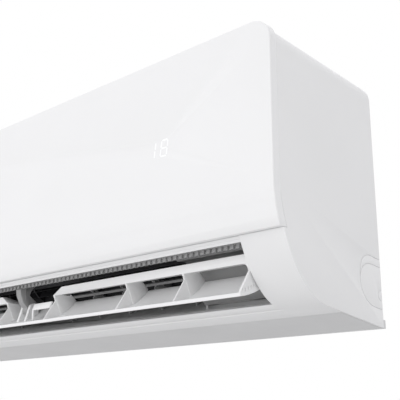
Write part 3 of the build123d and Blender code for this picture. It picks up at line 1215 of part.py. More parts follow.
with BuildPart() as louvre_blade:
    extrude(blade_outline(-LOUVRE_END).sketch, amount=2 * LOUVRE_END)
louvre_blade.part.label = "louvre_blade"
export_step(louvre_blade.part, "parts/louvre_blade.step")


def front_cut(points, y_from, y_to):
    """Cut away a front-view polygon between two distances from the pivot."""
    with BuildSketch(front_plane(PIVOT.X + y_from)) as outline:
        with BuildLine():
            Polyline(*points, close=True)
        make_face()
    extrude(outline.sketch, amount=y_from - y_to, mode=Mode.SUBTRACT)


def louvre_frame(side):
    """Ribs, bar and pivot pin of one half of the louvre; side is -1 or 1."""
    with BuildPart() as frame:
        for at in RIB_AT:
            rib(side * at - RIB_THICK / 2, RIB_THICK)
            for face in (-1, 1):
                skin = sorted((face * (RIB_THICK / 2 - RIB_POCKET), face * (RIB_THICK / 2 + 1)))
                slab(about_pivot(*RIB_THIN), side * at + skin[0], side * at + skin[1], Mode.SUBTRACT)
        end = sorted((side * LOUVRE_END, side * (LOUVRE_END - RIB_THICK)))
        rib(end[0], RIB_THICK)
        # Row of short slots along the foot of the end plate.
        with BuildSketch(side_plane(end[0] - 1)):
            for offset in END_SLOTS:
                with Locations(PIVOT + Vector(*offset)):
                    RectangleRounded(1.8, 3.6, 0.8)
        extrude(amount=RIB_THICK + 2, mode=Mode.SUBTRACT)
        inner = side * (RIB_AT[-1] - RIB_THICK / 2)
        slab(about_pivot(*LOUVRE_BAR), *sorted((inner, side * LOUVRE_END)))
        # The bar's inner end slants down to the last rib.
        low, high = PIVOT.Y + LOUVRE_BAR[0][1], PIVOT.Y + LOUVRE_BAR[2][1]
        slope = [(inner - side, low), (inner + side * BAR_CUT, high)]
        slope += [(inner + side * BAR_CUT, high + 1), (inner - side, high + 1)]
        front_cut(slope, LOUVRE_BAR[0][0] - 1, LOUVRE_BAR[3][0] + 1)
        # Rounded corner between the bar and the end plate.
        foot = PIVOT.Y + LOUVRE_BAR[0][1]
        corner_x = side * (LOUVRE_END - RIB_THICK)
        with BuildSketch(front_plane(PIVOT.X + LOUVRE_BAR[0][0] + 1)):
            with Locations((corner_x - side * BAR_CORNER / 2, foot - BAR_CORNER / 2 + 0.5)):
                Rectangle(BAR_CORNER + 1, BAR_CORNER + 1)
            with Locations((corner_x - side * BAR_CORNER, foot - BAR_CORNER)):
                Circle(BAR_CORNER, mode=Mode.SUBTRACT)
            with Locations((corner_x - side * 3 * BAR_CORNER, foot - BAR_CORNER)):
                Rectangle(4 * BAR_CORNER, 4 * BAR_CORNER, mode=Mode.SUBTRACT)
            with Locations((corner_x - side * BAR_CORNER, foot - 3 * BAR_CORNER)):
                Rectangle(4 * BAR_CORNER, 4 * BAR_CORNER, mode=Mode.SUBTRACT)
        extrude(amount=-1.6)
        pin = sorted((side * (LOUVRE_END - 1), side * (OPENING_HALF + WALL + 5)))
        rod(PIVOT, PIVOT_RADIUS, *pin)
    return frame


louvre_frame_left = louvre_frame(-1)
louvre_frame_left.part.label = "louvre_frame_left"
export_step(louvre_frame_left.part, "parts/louvre_frame_left.step")
louvre_frame_right = louvre_frame(1)
louvre_frame_right.part.label = "louvre_frame_right"
export_step(louvre_frame_right.part, "parts/louvre_frame_right.step")

EAR_IN = ARM_THICK / 2 + 1
ARM_FRONT = ((-19.8, 24.0), (-18.5, 16.3), (-14.0, 7.0), (-7.8, 1.0))
ARM_BACK = ((7.8, 2.0), (6.7, 9.0), (3.2, 11.8), (-4.6, 17.3))
ARM_HOLLOW = (-1.0, 25.5)
ARM_RIDGE_LINE = ((-12.4, 30.0), (-11.2, 30.0), (-10.2, 9.0), (-11.4, 9.0))
with BuildPart() as louvre_centre_ear:
    # Two rounded ears either side of the support arm, with the pin between them.
    for start in (SUPPORT_AT - EAR_IN - EAR_THICK, SUPPORT_AT + EAR_IN):
        with BuildSketch(side_plane(start)) as ear:
            with Locations((PIVOT.X, PIVOT.Y)):
                Circle(PIVOT_RADIUS + 4)
            with BuildLine():
                Polyline(*about_pivot((-6.0, 4.0), (-13.0, -19.0), (-3.0, -15.0), (8.0, -7.0), (6.5, 2.6)), close=True)
            make_face()
            add(blade_outline(start).sketch_local, mode=Mode.SUBTRACT)
        extrude(ear.sketch, amount=EAR_THICK)
    rod(PIVOT, PIVOT_RADIUS, SUPPORT_AT - EAR_IN - 1, SUPPORT_AT + EAR_IN + 1)
louvre_centre_ear.part.label = "louvre_centre_ear"
export_step(louvre_centre_ear.part, "parts/louvre_centre_ear.step")

with BuildPart() as louvre_support_arm:
    # Narrow neck that widens to the drain pan above and to the pin's boss below.
    top = PAN_UNDERSIDE - SEAT
    clear = FRONT + COMB_REACH + COMB_THICK + SEAT
    with BuildSketch(side_plane(SUPPORT_AT - ARM_THICK / 2)):
        with BuildLine():
            Polyline((PAN_Y, top), (clear, top), (clear, COMB_LOW - 1), *about_pivot(*ARM_FRONT, *ARM_BACK))
            ThreePointArc(PIVOT + Vector(*ARM_BACK[-1]), PIVOT + Vector(*ARM_HOLLOW), (PAN_Y, top))
        make_face()
        with Locations((PIVOT.X, PIVOT.Y)):
            Circle(PIVOT_RADIUS + 5)
            Circle(PIVOT_RADIUS + RUNNING, mode=Mode.SUBTRACT)
    extrude(amount=ARM_THICK)
    # Fine upright ridge on each side.
    ridge = SUPPORT_AT - ARM_THICK / 2 - ARM_RIDGE
    slab(about_pivot(*ARM_RIDGE_LINE), ridge, ridge + ARM_THICK + 2 * ARM_RIDGE)
louvre_support_arm.part.label = "louvre_support_arm"
export_step(louvre_support_arm.part, "parts/louvre_support_arm.step")

with BuildPart() as louvre_motor:
    start = OPENING_HALF + WALL + SEAT
    rod(PIVOT, LOUVRE_MOTOR_RADIUS, start, start + 20)
    rod(PIVOT, PIVOT_RADIUS + RUNNING, start - 1, start + 6, Mode.SUBTRACT)
louvre_motor.part.label = "louvre_motor"
export_step(louvre_motor.part, "parts/louvre_motor.step")

with BuildPart() as louvre_bush:
    start = -OPENING_HALF
    rod(PIVOT, PIVOT_RADIUS + 1.95, start - WALL - 1, start)
    rod(PIVOT, PIVOT_RADIUS + 4, start - WALL - 2, start - WALL - SEAT)
    rod(PIVOT, PIVOT_RADIUS + RUNNING, start - WALL - 3, start + 1, Mode.SUBTRACT)
louvre_bush.part.label = "louvre_bush"
export_step(louvre_bush.part, "parts/louvre_bush.step")


# ---------------------------------------------------------------- side-to-side vanes
def vane(at):
    """One vane on the duct floor, with its foot pin and the pin for its link bar."""
    with BuildPart() as blade:
        upright = Plane(origin=vane_plane(at - VANE_THICK / 2).origin, x_dir=(0, -FLOOR.X, -FLOOR.Y), z_dir=(1, 0, 0))
        notch_low = LINK_LOW - 2
        notch_high = LINK_LOW + LINK_THICK + 2
        front = LINK_PIN_AT + 3
        with BuildSketch(upright) as outline:
            with BuildLine():
                Polyline(
                    (-13, -0.6), (front, -0.6), (front, -notch_low), (LINK_PIN_AT - 4, -notch_low),
                    (LINK_PIN_AT - 4, -notch_high), (front, -notch_high), (front, -notch_high - 4),
                    (LINK_PIN_AT - 4.5, -notch_high - 3.5), (1.5, -notch_low + 1), (-13, -10),
                    close=True,
                )
            make_face()
        extrude(outline.sketch, amount=VANE_THICK)
        with BuildSketch(vane_plane(at, SEAT)) as disc:
            Circle(2 * VANE_PIN_RADIUS)
        extrude(disc.sketch, amount=1.3)
        with BuildSketch(vane_plane(at, 0.6)) as foot:
            Circle(VANE_PIN_RADIUS)
        extrude(foot.sketch, amount=-CHASSIS_WALL - 0.6)
        with BuildSketch(vane_plane(at, notch_low - 0.5)) as pin:
            with Locations((0, -LINK_PIN_AT)):
                Circle(LINK_PIN_RADIUS)
        extrude(pin.sketch, amount=notch_high - notch_low + 1)
    return blade


for name, places in (("left", VANES_LEFT), ("right", VANES_RIGHT)):
    for count, at in enumerate(places):
        blade = vane(at)
        blade.part.label = f"vane_{name}_{count + 1}"
        export_step(blade.part, f"parts/vane_{name}_{count + 1}.step")
    with BuildPart() as link_bar:
        with BuildSketch(vane_plane((places[0] + places[-1]) / 2, LINK_LOW)):
            with Locations((0, -LINK_PIN_AT)):
                RectangleRounded(places[-1] - places[0] + 2 * LINK_WIDTH, LINK_WIDTH, LINK_WIDTH / 2 - 0.1)
                with GridLocations(VANE_PITCH, 1, VANES, 1):
                    Circle(LINK_PIN_RADIUS + RUNNING, mode=Mode.SUBTRACT)
        extrude(amount=LINK_THICK)
    link_bar.part.label = f"link_bar_{name}"
    export_step(link_bar.part, f"parts/link_bar_{name}.step")


# ---------------------------------------------------------------- air filters
FILTER_TOP_H = CASING_TOP - TOP_FALL / 2 + FILTER_STAND
FILTER_LENGTH = (FILTER_TOP_H - FILTER_BASE.Y) / RISE.Y


def filter_plane(x, back=0):
    """Plane of the filters: sketch x is X, sketch y runs up along the filter."""
    base = FILTER_BASE + INWARD * back
    return Plane(origin=(x, base.X, BOTTOM + base.Y), x_dir=(1, 0, 0), z_dir=(0, -INWARD.X, -INWARD.Y))


for name, span in (("left", FILTER_SPANS[0]), ("right", FILTER_SPANS[1])):
    middle = (span[0] + span[1]) / 2
    wide = span[1] - span[0]
    with BuildPart() as filter_frame:
        with BuildSketch(filter_plane(middle, FILTER_THICK / 2)):
            with Locations((0, FILTER_LENGTH / 2)):
                Rectangle(wide, FILTER_LENGTH)
                cell_x = (wide - FILTER_BAR) / 5
                cell_y = (FILTER_LENGTH - FILTER_BAR) / 3
                with GridLocations(cell_x, cell_y, 5, 3):
                    Rectangle(cell_x - FILTER_BAR, cell_y - FILTER_BAR, mode=Mode.SUBTRACT)
        extrude(amount=FILTER_THICK)
    filter_frame.part.label = f"filter_frame_{name}"
    export_step(filter_frame.part, f"parts/filter_frame_{name}.step")
    with BuildPart() as filter_mesh:
        with BuildSketch(filter_plane(middle, FILTER_THICK / 2 + 0.5)):
            with Locations((0, FILTER_LENGTH / 2)):
                Rectangle(wide - FILTER_BAR / 2, FILTER_LENGTH - FILTER_BAR)
        extrude(amount=0.4)
    filter_mesh.part.label = f"filter_mesh_{name}"
    export_step(filter_mesh.part, f"parts/filter_mesh_{name}.step")
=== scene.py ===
# %% [markdown]
# # Indoor unit of a split air conditioner
# The moving frame, with every size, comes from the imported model. This lesson gives it its looks:
# the camera and the light first, then a finish for every moulding, and then the pieces that only
# the eye needs, such as fins, soft edges and the parts on the circuit board.

# %% Load the frame
import json
import math

import bpy
import bmesh
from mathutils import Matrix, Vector


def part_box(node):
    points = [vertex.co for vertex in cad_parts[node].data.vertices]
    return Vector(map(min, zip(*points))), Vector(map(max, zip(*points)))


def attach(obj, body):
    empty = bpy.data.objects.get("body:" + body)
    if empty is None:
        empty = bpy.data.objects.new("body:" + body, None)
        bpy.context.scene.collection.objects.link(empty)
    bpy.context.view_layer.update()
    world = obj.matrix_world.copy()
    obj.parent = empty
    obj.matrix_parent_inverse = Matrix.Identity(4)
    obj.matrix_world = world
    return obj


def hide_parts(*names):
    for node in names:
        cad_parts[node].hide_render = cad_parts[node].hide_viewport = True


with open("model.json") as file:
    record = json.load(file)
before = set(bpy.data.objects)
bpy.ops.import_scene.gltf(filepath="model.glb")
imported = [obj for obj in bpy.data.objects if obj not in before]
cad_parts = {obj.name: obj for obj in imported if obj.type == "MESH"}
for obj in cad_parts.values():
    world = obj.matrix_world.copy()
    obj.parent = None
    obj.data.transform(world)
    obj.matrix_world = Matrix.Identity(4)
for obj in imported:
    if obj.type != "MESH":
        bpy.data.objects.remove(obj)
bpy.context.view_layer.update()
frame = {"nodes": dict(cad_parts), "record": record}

# %% [markdown]
# ## Camera
# The photograph looks up at the unit from its lower right, close by, so the long panel narrows
# strongly to the left. A camera is only a place, a direction and a focal length. These three were
# worked out from the vanishing points of the unit's edges, so nothing needs to be shifted.

# %% Camera
LENS_MM, SENSOR_MM, NEAREST = 68.65, 36.0, 0.01
CAMERA_PLACE = (0.8267, -0.7408, -0.2517)
CAMERA_AIM = Vector((-0.6479, 0.7105, 0.2748))

camera_data = bpy.data.cameras.new("studio_camera")
camera_data.lens = LENS_MM
camera_data.sensor_width = SENSOR_MM
camera_data.clip_start = NEAREST
camera = bpy.data.objects.new("studio_camera", camera_data)
bpy.context.scene.collection.objects.link(camera)
camera.location = CAMERA_PLACE
camera.rotation_euler = CAMERA_AIM.to_track_quat("-Z", "Y").to_euler()
bpy.context.scene.camera = camera
bpy.context.scene.view_settings.view_transform = "Standard"
print("camera at", tuple(round(value, 3) for value in camera.location))

# %% [markdown]
# ## Tent
# White plastic on white paper is a hard subject: only the light tells one face from the next. The
# world is a soft white tent that is a little darker on the right and below, so the front face
# stays the brightest, the cheek is one step greyer and the underside two. The camera itself sees
# plain white paper where nothing stands.

# %% World
TENT_LIGHT, TENT_TINT = 1.08, (0.985, 0.985, 1.0, 1.0)
PAPER_LIGHT, PAPER_TINT = 1.0, (1.0, 1.0, 1.0, 1.0)
RIGHT_SHADE, RIGHT_SPAN = 0.83, (-0.2, 0.8)
BELOW_SHADE, BELOW_SPAN = 0.30, (-0.7, 0.1)


def stretch(tree, value, source, target):
    """A value that runs over source, stretched to run over target."""
    node = tree.nodes.new("ShaderNodeMapRange")
    for name, number in zip(("From Min", "From Max", "To Min", "To Max"), (*source, *target)):
        node.inputs[name].default_value = number
    tree.links.new(value, node.inputs["Value"])
    return node.outputs["Result"]


def background(tree, tint, strength):
    """Background of the world in a tint."""
    node = tree.nodes.new("ShaderNodeBackground")
    node.inputs["Color"].default_value = tint
    node.inputs["Strength"].default_value = strength
    return node


world = bpy.data.worlds.new("white_tent")
bpy.context.scene.world = world
world.use_nodes = True
sky = world.node_tree
sky.nodes.clear()
output = sky.nodes.new("ShaderNodeOutputWorld")
paper = background(sky, PAPER_TINT, PAPER_LIGHT)
tent = background(sky, TENT_TINT, TENT_LIGHT)
ways = sky.nodes.new("ShaderNodeTexCoord")
split = sky.nodes.new("ShaderNodeSeparateXYZ")
sky.links.new(ways.outputs["Generated"], split.inputs[0])
from_right = stretch(sky, split.outputs["X"], RIGHT_SPAN, (TENT_LIGHT, RIGHT_SHADE * TENT_LIGHT))
from_below = stretch(sky, split.outputs["Z"], BELOW_SPAN, (BELOW_SHADE, 1.0))
both = sky.nodes.new("ShaderNodeMath")
both.operation = "MULTIPLY"
sky.links.new(from_right, both.inputs[0])
sky.links.new(from_below, both.inputs[1])
sky.links.new(both.outputs[0], tent.inputs["Strength"])
path = sky.nodes.new("ShaderNodeLightPath")
mix = sky.nodes.new("ShaderNodeMixShader")
sky.links.new(path.outputs["Is Camera Ray"], mix.inputs["Fac"])
sky.links.new(tent.outputs[0], mix.inputs[1])
sky.links.new(paper.outputs[0], mix.inputs[2])
sky.links.new(mix.outputs[0], output.inputs["Surface"])
print("world nodes:", len(sky.nodes))

# %% [markdown]
# ## Soft box and floor
# One large square lamp stands low in front of the unit. It lifts the tone of everything that faces
# the room and lights the louvre from below. A pale floor closes the tent off underneath.

# %% Lamp and floor
BOX_SIZE, BOX_POWER = 1.6, 10.5
BOX_PLACE, BOX_AIM = (0.3, -2.6, -0.75), Vector((0.0, -0.15, -0.08))
FLOOR_SIZE, FLOOR_HEIGHT = 14.0, -1.6

soft_box = bpy.data.lights.new("front_soft_box", "AREA")
soft_box.shape = "SQUARE"
soft_box.size = BOX_SIZE
soft_box.energy = BOX_POWER
front_box = bpy.data.objects.new("front_soft_box", soft_box)
bpy.context.scene.collection.objects.link(front_box)
front_box.location = BOX_PLACE
to_unit = BOX_AIM - front_box.location
front_box.rotation_euler = to_unit.to_track_quat("-Z", "Y").to_euler()

bpy.ops.object.select_all(action="DESELECT")
bpy.ops.mesh.primitive_plane_add(size=FLOOR_SIZE, location=(0.0, 0.0, FLOOR_HEIGHT))
floor = bpy.context.object
floor.name = "studio_floor"
print("floor at", floor.location.z)

# %% [markdown]
# ## Finishes
# Every moulding is one plastic, yet no two faces of it reflect alike: the mould was eroded to a
# fine grain, the flow left faint differences in tone, and handling polished it in places. One
# helper builds such a finish from three layers of noise on the object's own coordinates: a slow
# one for tone, a middle one for gloss and a fine one for the grain's relief.

# %% Plastic helper
NOISE_SPAN = (0.3, 0.7)
GLOSS_FINER = 8
GRAIN_DETAIL, GRAIN_HEIGHT, GRAIN_STRENGTH = 2.0, 0.00005, 0.3


def noise(tree, place, scale, detail=3.0):
    """Noise on a place, about scale grains to the metre."""
    node = tree.nodes.new("ShaderNodeTexNoise")
    node.inputs["Scale"].default_value = scale
    node.inputs["Detail"].default_value = detail
    tree.links.new(place, node.inputs["Vector"])
    return node.outputs["Fac"]


def ramp(tree, value, low, high):
    """Colour that goes from low to high with a value."""
    node = tree.nodes.new("ShaderNodeValToRGB")
    for element, position, colour in zip(node.color_ramp.elements, NOISE_SPAN, (low, high)):
        element.position = position
        element.color = (*colour, 1.0)
    tree.links.new(value, node.inputs["Fac"])
    return node.outputs["Color"]


def relief(tree, shader, value):
    """Bump of the grain's height on the shader."""
    node = tree.nodes.new("ShaderNodeBump")
    node.inputs["Strength"].default_value = GRAIN_STRENGTH
    node.inputs["Distance"].default_value = GRAIN_HEIGHT
    tree.links.new(value, node.inputs["Height"])
    tree.links.new(node.outputs["Normal"], shader.inputs["Normal"])


def plastic(name, colour, change, rough, grain, metallic=0.0, tone=9.0):
    """Moulded plastic, or painted or rolled metal, with tone, gloss and grain."""
    material = bpy.data.materials.new(name)
    material.use_nodes = True
    tree = material.node_tree
    shader = tree.nodes["Principled BSDF"]
    place = tree.nodes.new("ShaderNodeTexCoord").outputs["Object"]
    low = [max(value * (1 - change), 0) for value in colour]
    high = [min(value * (1 + change), 1) for value in colour]
    gloss = stretch(tree, noise(tree, place, tone * GLOSS_FINER), NOISE_SPAN, rough)
    tree.links.new(ramp(tree, noise(tree, place, tone), low, high), shader.inputs["Base Color"])
    tree.links.new(gloss, shader.inputs["Roughness"])
    relief(tree, shader, noise(tree, place, grain, GRAIN_DETAIL))
    shader.inputs["Metallic"].default_value = metallic
    return material


# %% [markdown]
# ## Which finish goes where
# The panel and the louvre are the glossiest, the casing is a satin white, the duct behind the
# louvre is a matte grey, and the fan is nearly black so that it disappears in the dark of the
# outlet. A row gives the colour, how far its tone changes, the range of the roughness and the
# fineness of the grain, and for metals how metallic it is and how fine its patches of tone are.

# %% Finishes of the nodes
FINISHES = {
    "panel_white": ((0.90, 0.90, 0.90), 0.008, (0.30, 0.36), 2400.0),
    "casing_white": ((0.88, 0.88, 0.88), 0.010, (0.36, 0.46), 1500.0),
    "louvre_white": ((0.90, 0.90, 0.90), 0.010, (0.28, 0.36), 2000.0),
    "lining_grey": ((0.33, 0.33, 0.33), 0.05, (0.50, 0.62), 1200.0),
    "rear_grey": ((0.70, 0.70, 0.70), 0.03, (0.45, 0.58), 1200.0),
    "comb_grey": ((0.40, 0.40, 0.40), 0.04, (0.45, 0.58), 1200.0),
    "arm_grey": ((0.36, 0.36, 0.36), 0.04, (0.40, 0.52), 1200.0),
    "fan_black": ((0.016, 0.016, 0.018), 0.15, (0.40, 0.55), 1400.0),
    "dark_plastic": ((0.06, 0.06, 0.065), 0.10, (0.42, 0.55), 1400.0),
    "fins": ((0.55, 0.57, 0.60), 0.05, (0.28, 0.42), 900.0, 0.9),
    "galvanised": ((0.50, 0.52, 0.54), 0.14, (0.30, 0.50), 700.0, 0.85, 60.0),
    "steel": ((0.55, 0.55, 0.56), 0.06, (0.22, 0.36), 1600.0, 1.0),
    "copper": ((0.72, 0.36, 0.20), 0.10, (0.22, 0.40), 1100.0, 1.0, 30.0),
    "nut_brass": ((0.74, 0.55, 0.25), 0.06, (0.22, 0.34), 1300.0, 1.0),
    "board_green": ((0.02, 0.16, 0.07), 0.12, (0.25, 0.40), 1500.0),
    "mesh_grey": ((0.30, 0.31, 0.33), 0.10, (0.60, 0.80), 1100.0),
    "bush_rubber": ((0.03, 0.03, 0.03), 0.10, (0.60, 0.80), 1300.0),
    "digit_white": ((0.98, 0.99, 1.0), 0.01, (0.30, 0.40), 1300.0),
}
FLOOR_PAPER = ((0.60, 0.60, 0.60), 0.01, (0.70, 0.80), 300.0)
DIGIT_GLOW = 0.12

finishes = {name: plastic(name, *row) for name, row in FINISHES.items()}
floor.data.materials.append(plastic("floor_paper", *FLOOR_PAPER))
digit_shader = finishes["digit_white"].node_tree.nodes["Principled BSDF"]
digit_shader.inputs["Emission Color"].default_value = (1.0, 1.0, 1.0, 1.0)
digit_shader.inputs["Emission Strength"].default_value = DIGIT_GLOW
for entry in frame["record"]["subparts"]:
    for place in frame["nodes"][entry["node"]].material_slots:
        place.material = finishes[entry["material_slot"]]

# %% [markdown]
# ## Tools for new pieces
# Every new piece starts as a primitive at its real size and place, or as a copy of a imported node,
# whose loose triangles are first merged into whole faces. Its place stays in its mesh. When it is
# shaped, its edges are softened and it gets its finish and the body that it moves with.

# %% Making and finishing
MERGE_WITHIN, FLAT_WITHIN = 0.000002, math.radians(0.4)
SHARP = math.radians(30.0)
EDGE_FINE, EDGE, EDGE_SOFT, EDGE_ROUND, EDGE_LARGE = 0.0002, 0.0003, 0.0004, 0.0005, 0.0008
TO_ROOM, ALONG = (math.radians(90), 0.0, 0.0), (0.0, math.radians(90), 0.0)


def only(piece):
    """Make one piece the only one selected and the active one."""
    bpy.ops.object.select_all(action="DESELECT")
    piece.select_set(True)
    bpy.context.view_layer.objects.active = piece


def dress(piece, body, slot):
    """Give a piece its finish and the body that it rides on."""
    piece.data.materials.clear()
    piece.data.materials.append(finishes[slot])
    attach(piece, body)
    return piece


def finish_piece(piece, body, slot, soft=EDGE):
    """Soften the sharp edges, smooth the shading and dress the piece."""
    only(piece)
    edge = piece.modifiers.new("soft_edge", "BEVEL")
    edge.width = soft
    edge.segments = 2
    edge.limit_method = "ANGLE"
    edge.angle_limit = SHARP
    bpy.ops.object.modifier_apply(modifier=edge.name)
    bpy.ops.object.shade_smooth_by_angle(angle=SHARP)
    return dress(piece, body, slot)


def node_copy(node, name):
    """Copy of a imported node's mesh, with its loose triangles merged into whole faces."""
    piece = bpy.data.objects.new(name, frame["nodes"][node].data.copy())
    bpy.context.scene.collection.objects.link(piece)
    only(piece)
    bpy.ops.object.mode_set(mode="EDIT")
    bpy.ops.mesh.select_all(action="SELECT")
    bpy.ops.mesh.remove_doubles(threshold=MERGE_WITHIN)
    bpy.ops.mesh.dissolve_limited(angle_limit=FLAT_WITHIN)
    bpy.ops.object.mode_set(mode="OBJECT")
    return piece


def place_block(name, low, high):
    """Box between two corners."""
    bpy.ops.object.select_all(action="DESELECT")
    middle = [(a + b) / 2 for a, b in zip(low, high)]
    bpy.ops.mesh.primitive_cube_add(size=1.0, location=middle)
    piece = bpy.context.object
    piece.name = name
    piece.scale = [b - a for a, b in zip(low, high)]
    bpy.ops.object.transform_apply(location=True, rotation=True, scale=True)
    return piece


def place_round(name, middle, radius, length, turn, sides=32):
    """Cylinder at a place, turned to its axis."""
    bpy.ops.object.select_all(action="DESELECT")
    bpy.ops.mesh.primitive_cylinder_add(
        vertices=sides, radius=radius, depth=length, location=middle, rotation=turn
    )
    piece = bpy.context.object
    piece.name = name
    bpy.ops.object.transform_apply(location=True, rotation=True, scale=True)
    return piece


# %% [markdown]
# ## Tools for faces
# A piece is shaped with the operators that a hand would use in edit mode. A script has no mouse,
# so faces are picked by the way they look and by where they are. Three moves cover nearly all of
# it: slide faces, step them in or out, and swell each one by itself.

# %% Picking and moving faces
def pick(piece, test):
    """In edit mode, select only the faces whose middle and normal pass a test."""
    bpy.ops.mesh.select_mode(type="FACE")
    bpy.ops.mesh.select_all(action="DESELECT")
    work = bmesh.from_edit_mesh(piece.data)
    picked = [face for face in work.faces if test(face.calc_center_median(), face.normal)]
    for face in picked:
        face.select_set(True)
    bmesh.update_edit_mesh(piece.data)
    return len(picked)


def slide_faces(piece, test, move):
    """Slide the faces that pass a test and say how many they are."""
    bpy.ops.object.mode_set(mode="EDIT")
    print(piece.name, "faces moved:", pick(piece, test))
    bpy.ops.transform.translate(value=move)
    bpy.ops.object.mode_set(mode="OBJECT")


def step_faces(piece, test, steps):
    """Inset the faces that pass a test and move what is left, once for each step."""
    bpy.ops.object.mode_set(mode="EDIT")
    pick(piece, test)
    for border, move in steps:
        bpy.ops.mesh.inset(thickness=border)
        bpy.ops.mesh.extrude_region_move(TRANSFORM_OT_translate={"value": move})
    bpy.ops.object.mode_set(mode="OBJECT")


def swell_faces(piece, test, border, height):
    """Inset each face that passes a test by itself and push it outwards."""
    bpy.ops.object.mode_set(mode="EDIT")
    pick(piece, test)
    bpy.ops.mesh.inset(thickness=border, use_individual=True)
    bpy.ops.mesh.extrude_region_shrink_fatten(TRANSFORM_OT_shrink_fatten={"value": height})
    bpy.ops.object.mode_set(mode="OBJECT")


def faces_room(middle, normal):
    """Faces that look straight into the room."""
    return normal.y < -0.9


print("tools:", slide_faces.__name__, step_faces.__name__, swell_faces.__name__)

# %% [markdown]
# ## Soft edges on the louvre
# A moulding never leaves the tool with knife edges: each corner has a radius of a few tenths of a
# millimetre. On the louvre that radius is what the eye reads, as the fine bright line along each
# rib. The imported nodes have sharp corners, so a merged copy of each gets a bevel and stands in.

# %% Louvre with soft edges
for node in ("louvre_blade", "louvre_frame_left", "louvre_frame_right", "louvre_centre_ear"):
    piece = finish_piece(node_copy(node, node + "_moulding"), "louvre", "louvre_white")
    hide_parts(node)
    print(piece.name, len(piece.data.polygons), "faces")
support = node_copy("louvre_support_arm", "support_arm_moulding")
finish_piece(support, "unit", "arm_grey", EDGE_LARGE)
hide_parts("louvre_support_arm")

# %% [markdown]
# ## Fin stacks of the coil
# The coil is hundreds of thin aluminium plates on copper tubes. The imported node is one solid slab
# that only holds the space. Here a copy of that slab is pressed flat to a single plate, and an
# array repeats the plate along the unit. The pitch is wider than the real one, so the stack stays
# light.

# %% Fins
FIN, FIN_PITCH = 0.00025, 0.0028
for node in ("evaporator_front", "evaporator_rear"):
    low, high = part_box(node)
    width = high[0] - low[0]
    stack = node_copy(node, node + "_fins")
    bpy.ops.object.mode_set(mode="EDIT")
    bpy.ops.mesh.select_all(action="SELECT")
    bpy.ops.transform.resize(value=(FIN / width, 1.0, 1.0), center_override=(low[0], 0.0, 0.0))
    bpy.ops.object.mode_set(mode="OBJECT")
    row = stack.modifiers.new("row", "ARRAY")
    row.use_relative_offset = False
    row.use_constant_offset = True
    row.constant_offset_displace = (FIN_PITCH, 0.0, 0.0)
    row.count = int(width / FIN_PITCH)
    bpy.ops.object.modifier_apply(modifier=row.name)
    dress(stack, "unit", "fins")
    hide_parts(node)
    print(stack.name, len(stack.data.polygons), "faces")

# %% [markdown]
# ## Tall parts on the control board
# A bare green plate does not look like electronics. The tall parts make the picture: first a
# transformer with its coil, two relays and three round capacitors with a scored top. Each starts
# as a block or a cylinder on the board's face and gets its own few cuts.

# %% Transformer, relays and capacitors
board_low, board_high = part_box("control_board")
board_left, board_face, board_foot = board_low
CORE_AT, CORE_SIZE = (0.008, 0.076), (0.034, 0.030, 0.016)
CORE_STEPS, COIL_BORDER, COIL_OUT = ((0.005, (0.0, -0.002, 0.0)),), 0.004, 0.0012
RELAYS, RELAY_Z, RELAY_SIZE = (0.050, 0.074), 0.092, (0.020, 0.016, 0.014)
RELAY_STEPS = ((0.0012, (0.0, 0.0004, 0.0)),)
CANS = (
    (0.060, 0.074, 0.0085, 0.018, "steel"),
    (0.080, 0.076, 0.0065, 0.015, "dark_plastic"),
    (0.096, 0.070, 0.0050, 0.012, "dark_plastic"),
)
CAN_RIM, CAN_SCORE = (0.16, (0.0, 0.0005, 0.0)), (0.5, (0.0, 0.0002, 0.0))


def on_board(name, x, z, wide, tall, deep):
    """Block that stands on the board's face, x and z counted from its lower left corner."""
    low = (board_left + x, board_face - deep, board_foot + z)
    return place_block(name, low, (low[0] + wide, board_face, low[2] + tall))


transformer = on_board("board_transformer", *CORE_AT, *CORE_SIZE)
step_faces(transformer, faces_room, CORE_STEPS)
swell_faces(transformer, lambda middle, normal: abs(normal.x) > 0.9, COIL_BORDER, COIL_OUT)
finish_piece(transformer, "unit", "nut_brass", EDGE_SOFT)

for count, x in enumerate(RELAYS, 1):
    relay = on_board(f"board_relay_{count}", x, RELAY_Z, *RELAY_SIZE)
    step_faces(relay, faces_room, RELAY_STEPS)
    finish_piece(relay, "unit", "dark_plastic", EDGE_SOFT)

for count, (x, z, radius, tall, slot) in enumerate(CANS, 1):
    middle = (board_left + x, board_face - tall / 2, board_foot + z)
    can = place_round(f"board_capacitor_{count}", middle, radius, tall, TO_ROOM)
    step_faces(can, faces_room, [(radius * part, move) for part, move in (CAN_RIM, CAN_SCORE)])
    finish_piece(can, "unit", slot, EDGE_SOFT)
print("tall parts:", 1 + len(RELAYS) + len(CANS))

# %% [markdown]
# ## Low parts on the control board
# Below the tall parts lie the chip, whose legs swell out of its four sides, the heat sink of the
# power stage, whose fins are every second strip of its face pulled out, and a row of plugs for
# the motors, each an open socket.

# %% Chip, heat sink and plugs
CHIP_AT, CHIP_SIZE = (0.072, 0.044), (0.016, 0.016, 0.0018)
CHIP_BORDER, CHIP_LEG = 0.0005, 0.0012
SINK_Z, SINK_SIZE = 0.040, (0.014, 0.022, 0.003)
SINK_X, SINK_CUTS, SINK_STRIP, SINK_FIN = 0.098, 6, 0.002, 0.012
PLUGS, PLUG_X, PLUG_PITCH, PLUG_Z, PLUG_SIZE = 5, 0.066, 0.0102, 0.008, (0.0088, 0.008, 0.009)
PLUG_STEPS = ((0.001, (0.0, 0.005, 0.0)),)

chip = on_board("board_chip", *CHIP_AT, *CHIP_SIZE)
swell_faces(
    chip,
    lambda middle, normal: abs(normal.x) > 0.9 or abs(normal.z) > 0.9,
    CHIP_BORDER,
    CHIP_LEG,
)
finish_piece(chip, "unit", "dark_plastic", EDGE_FINE)


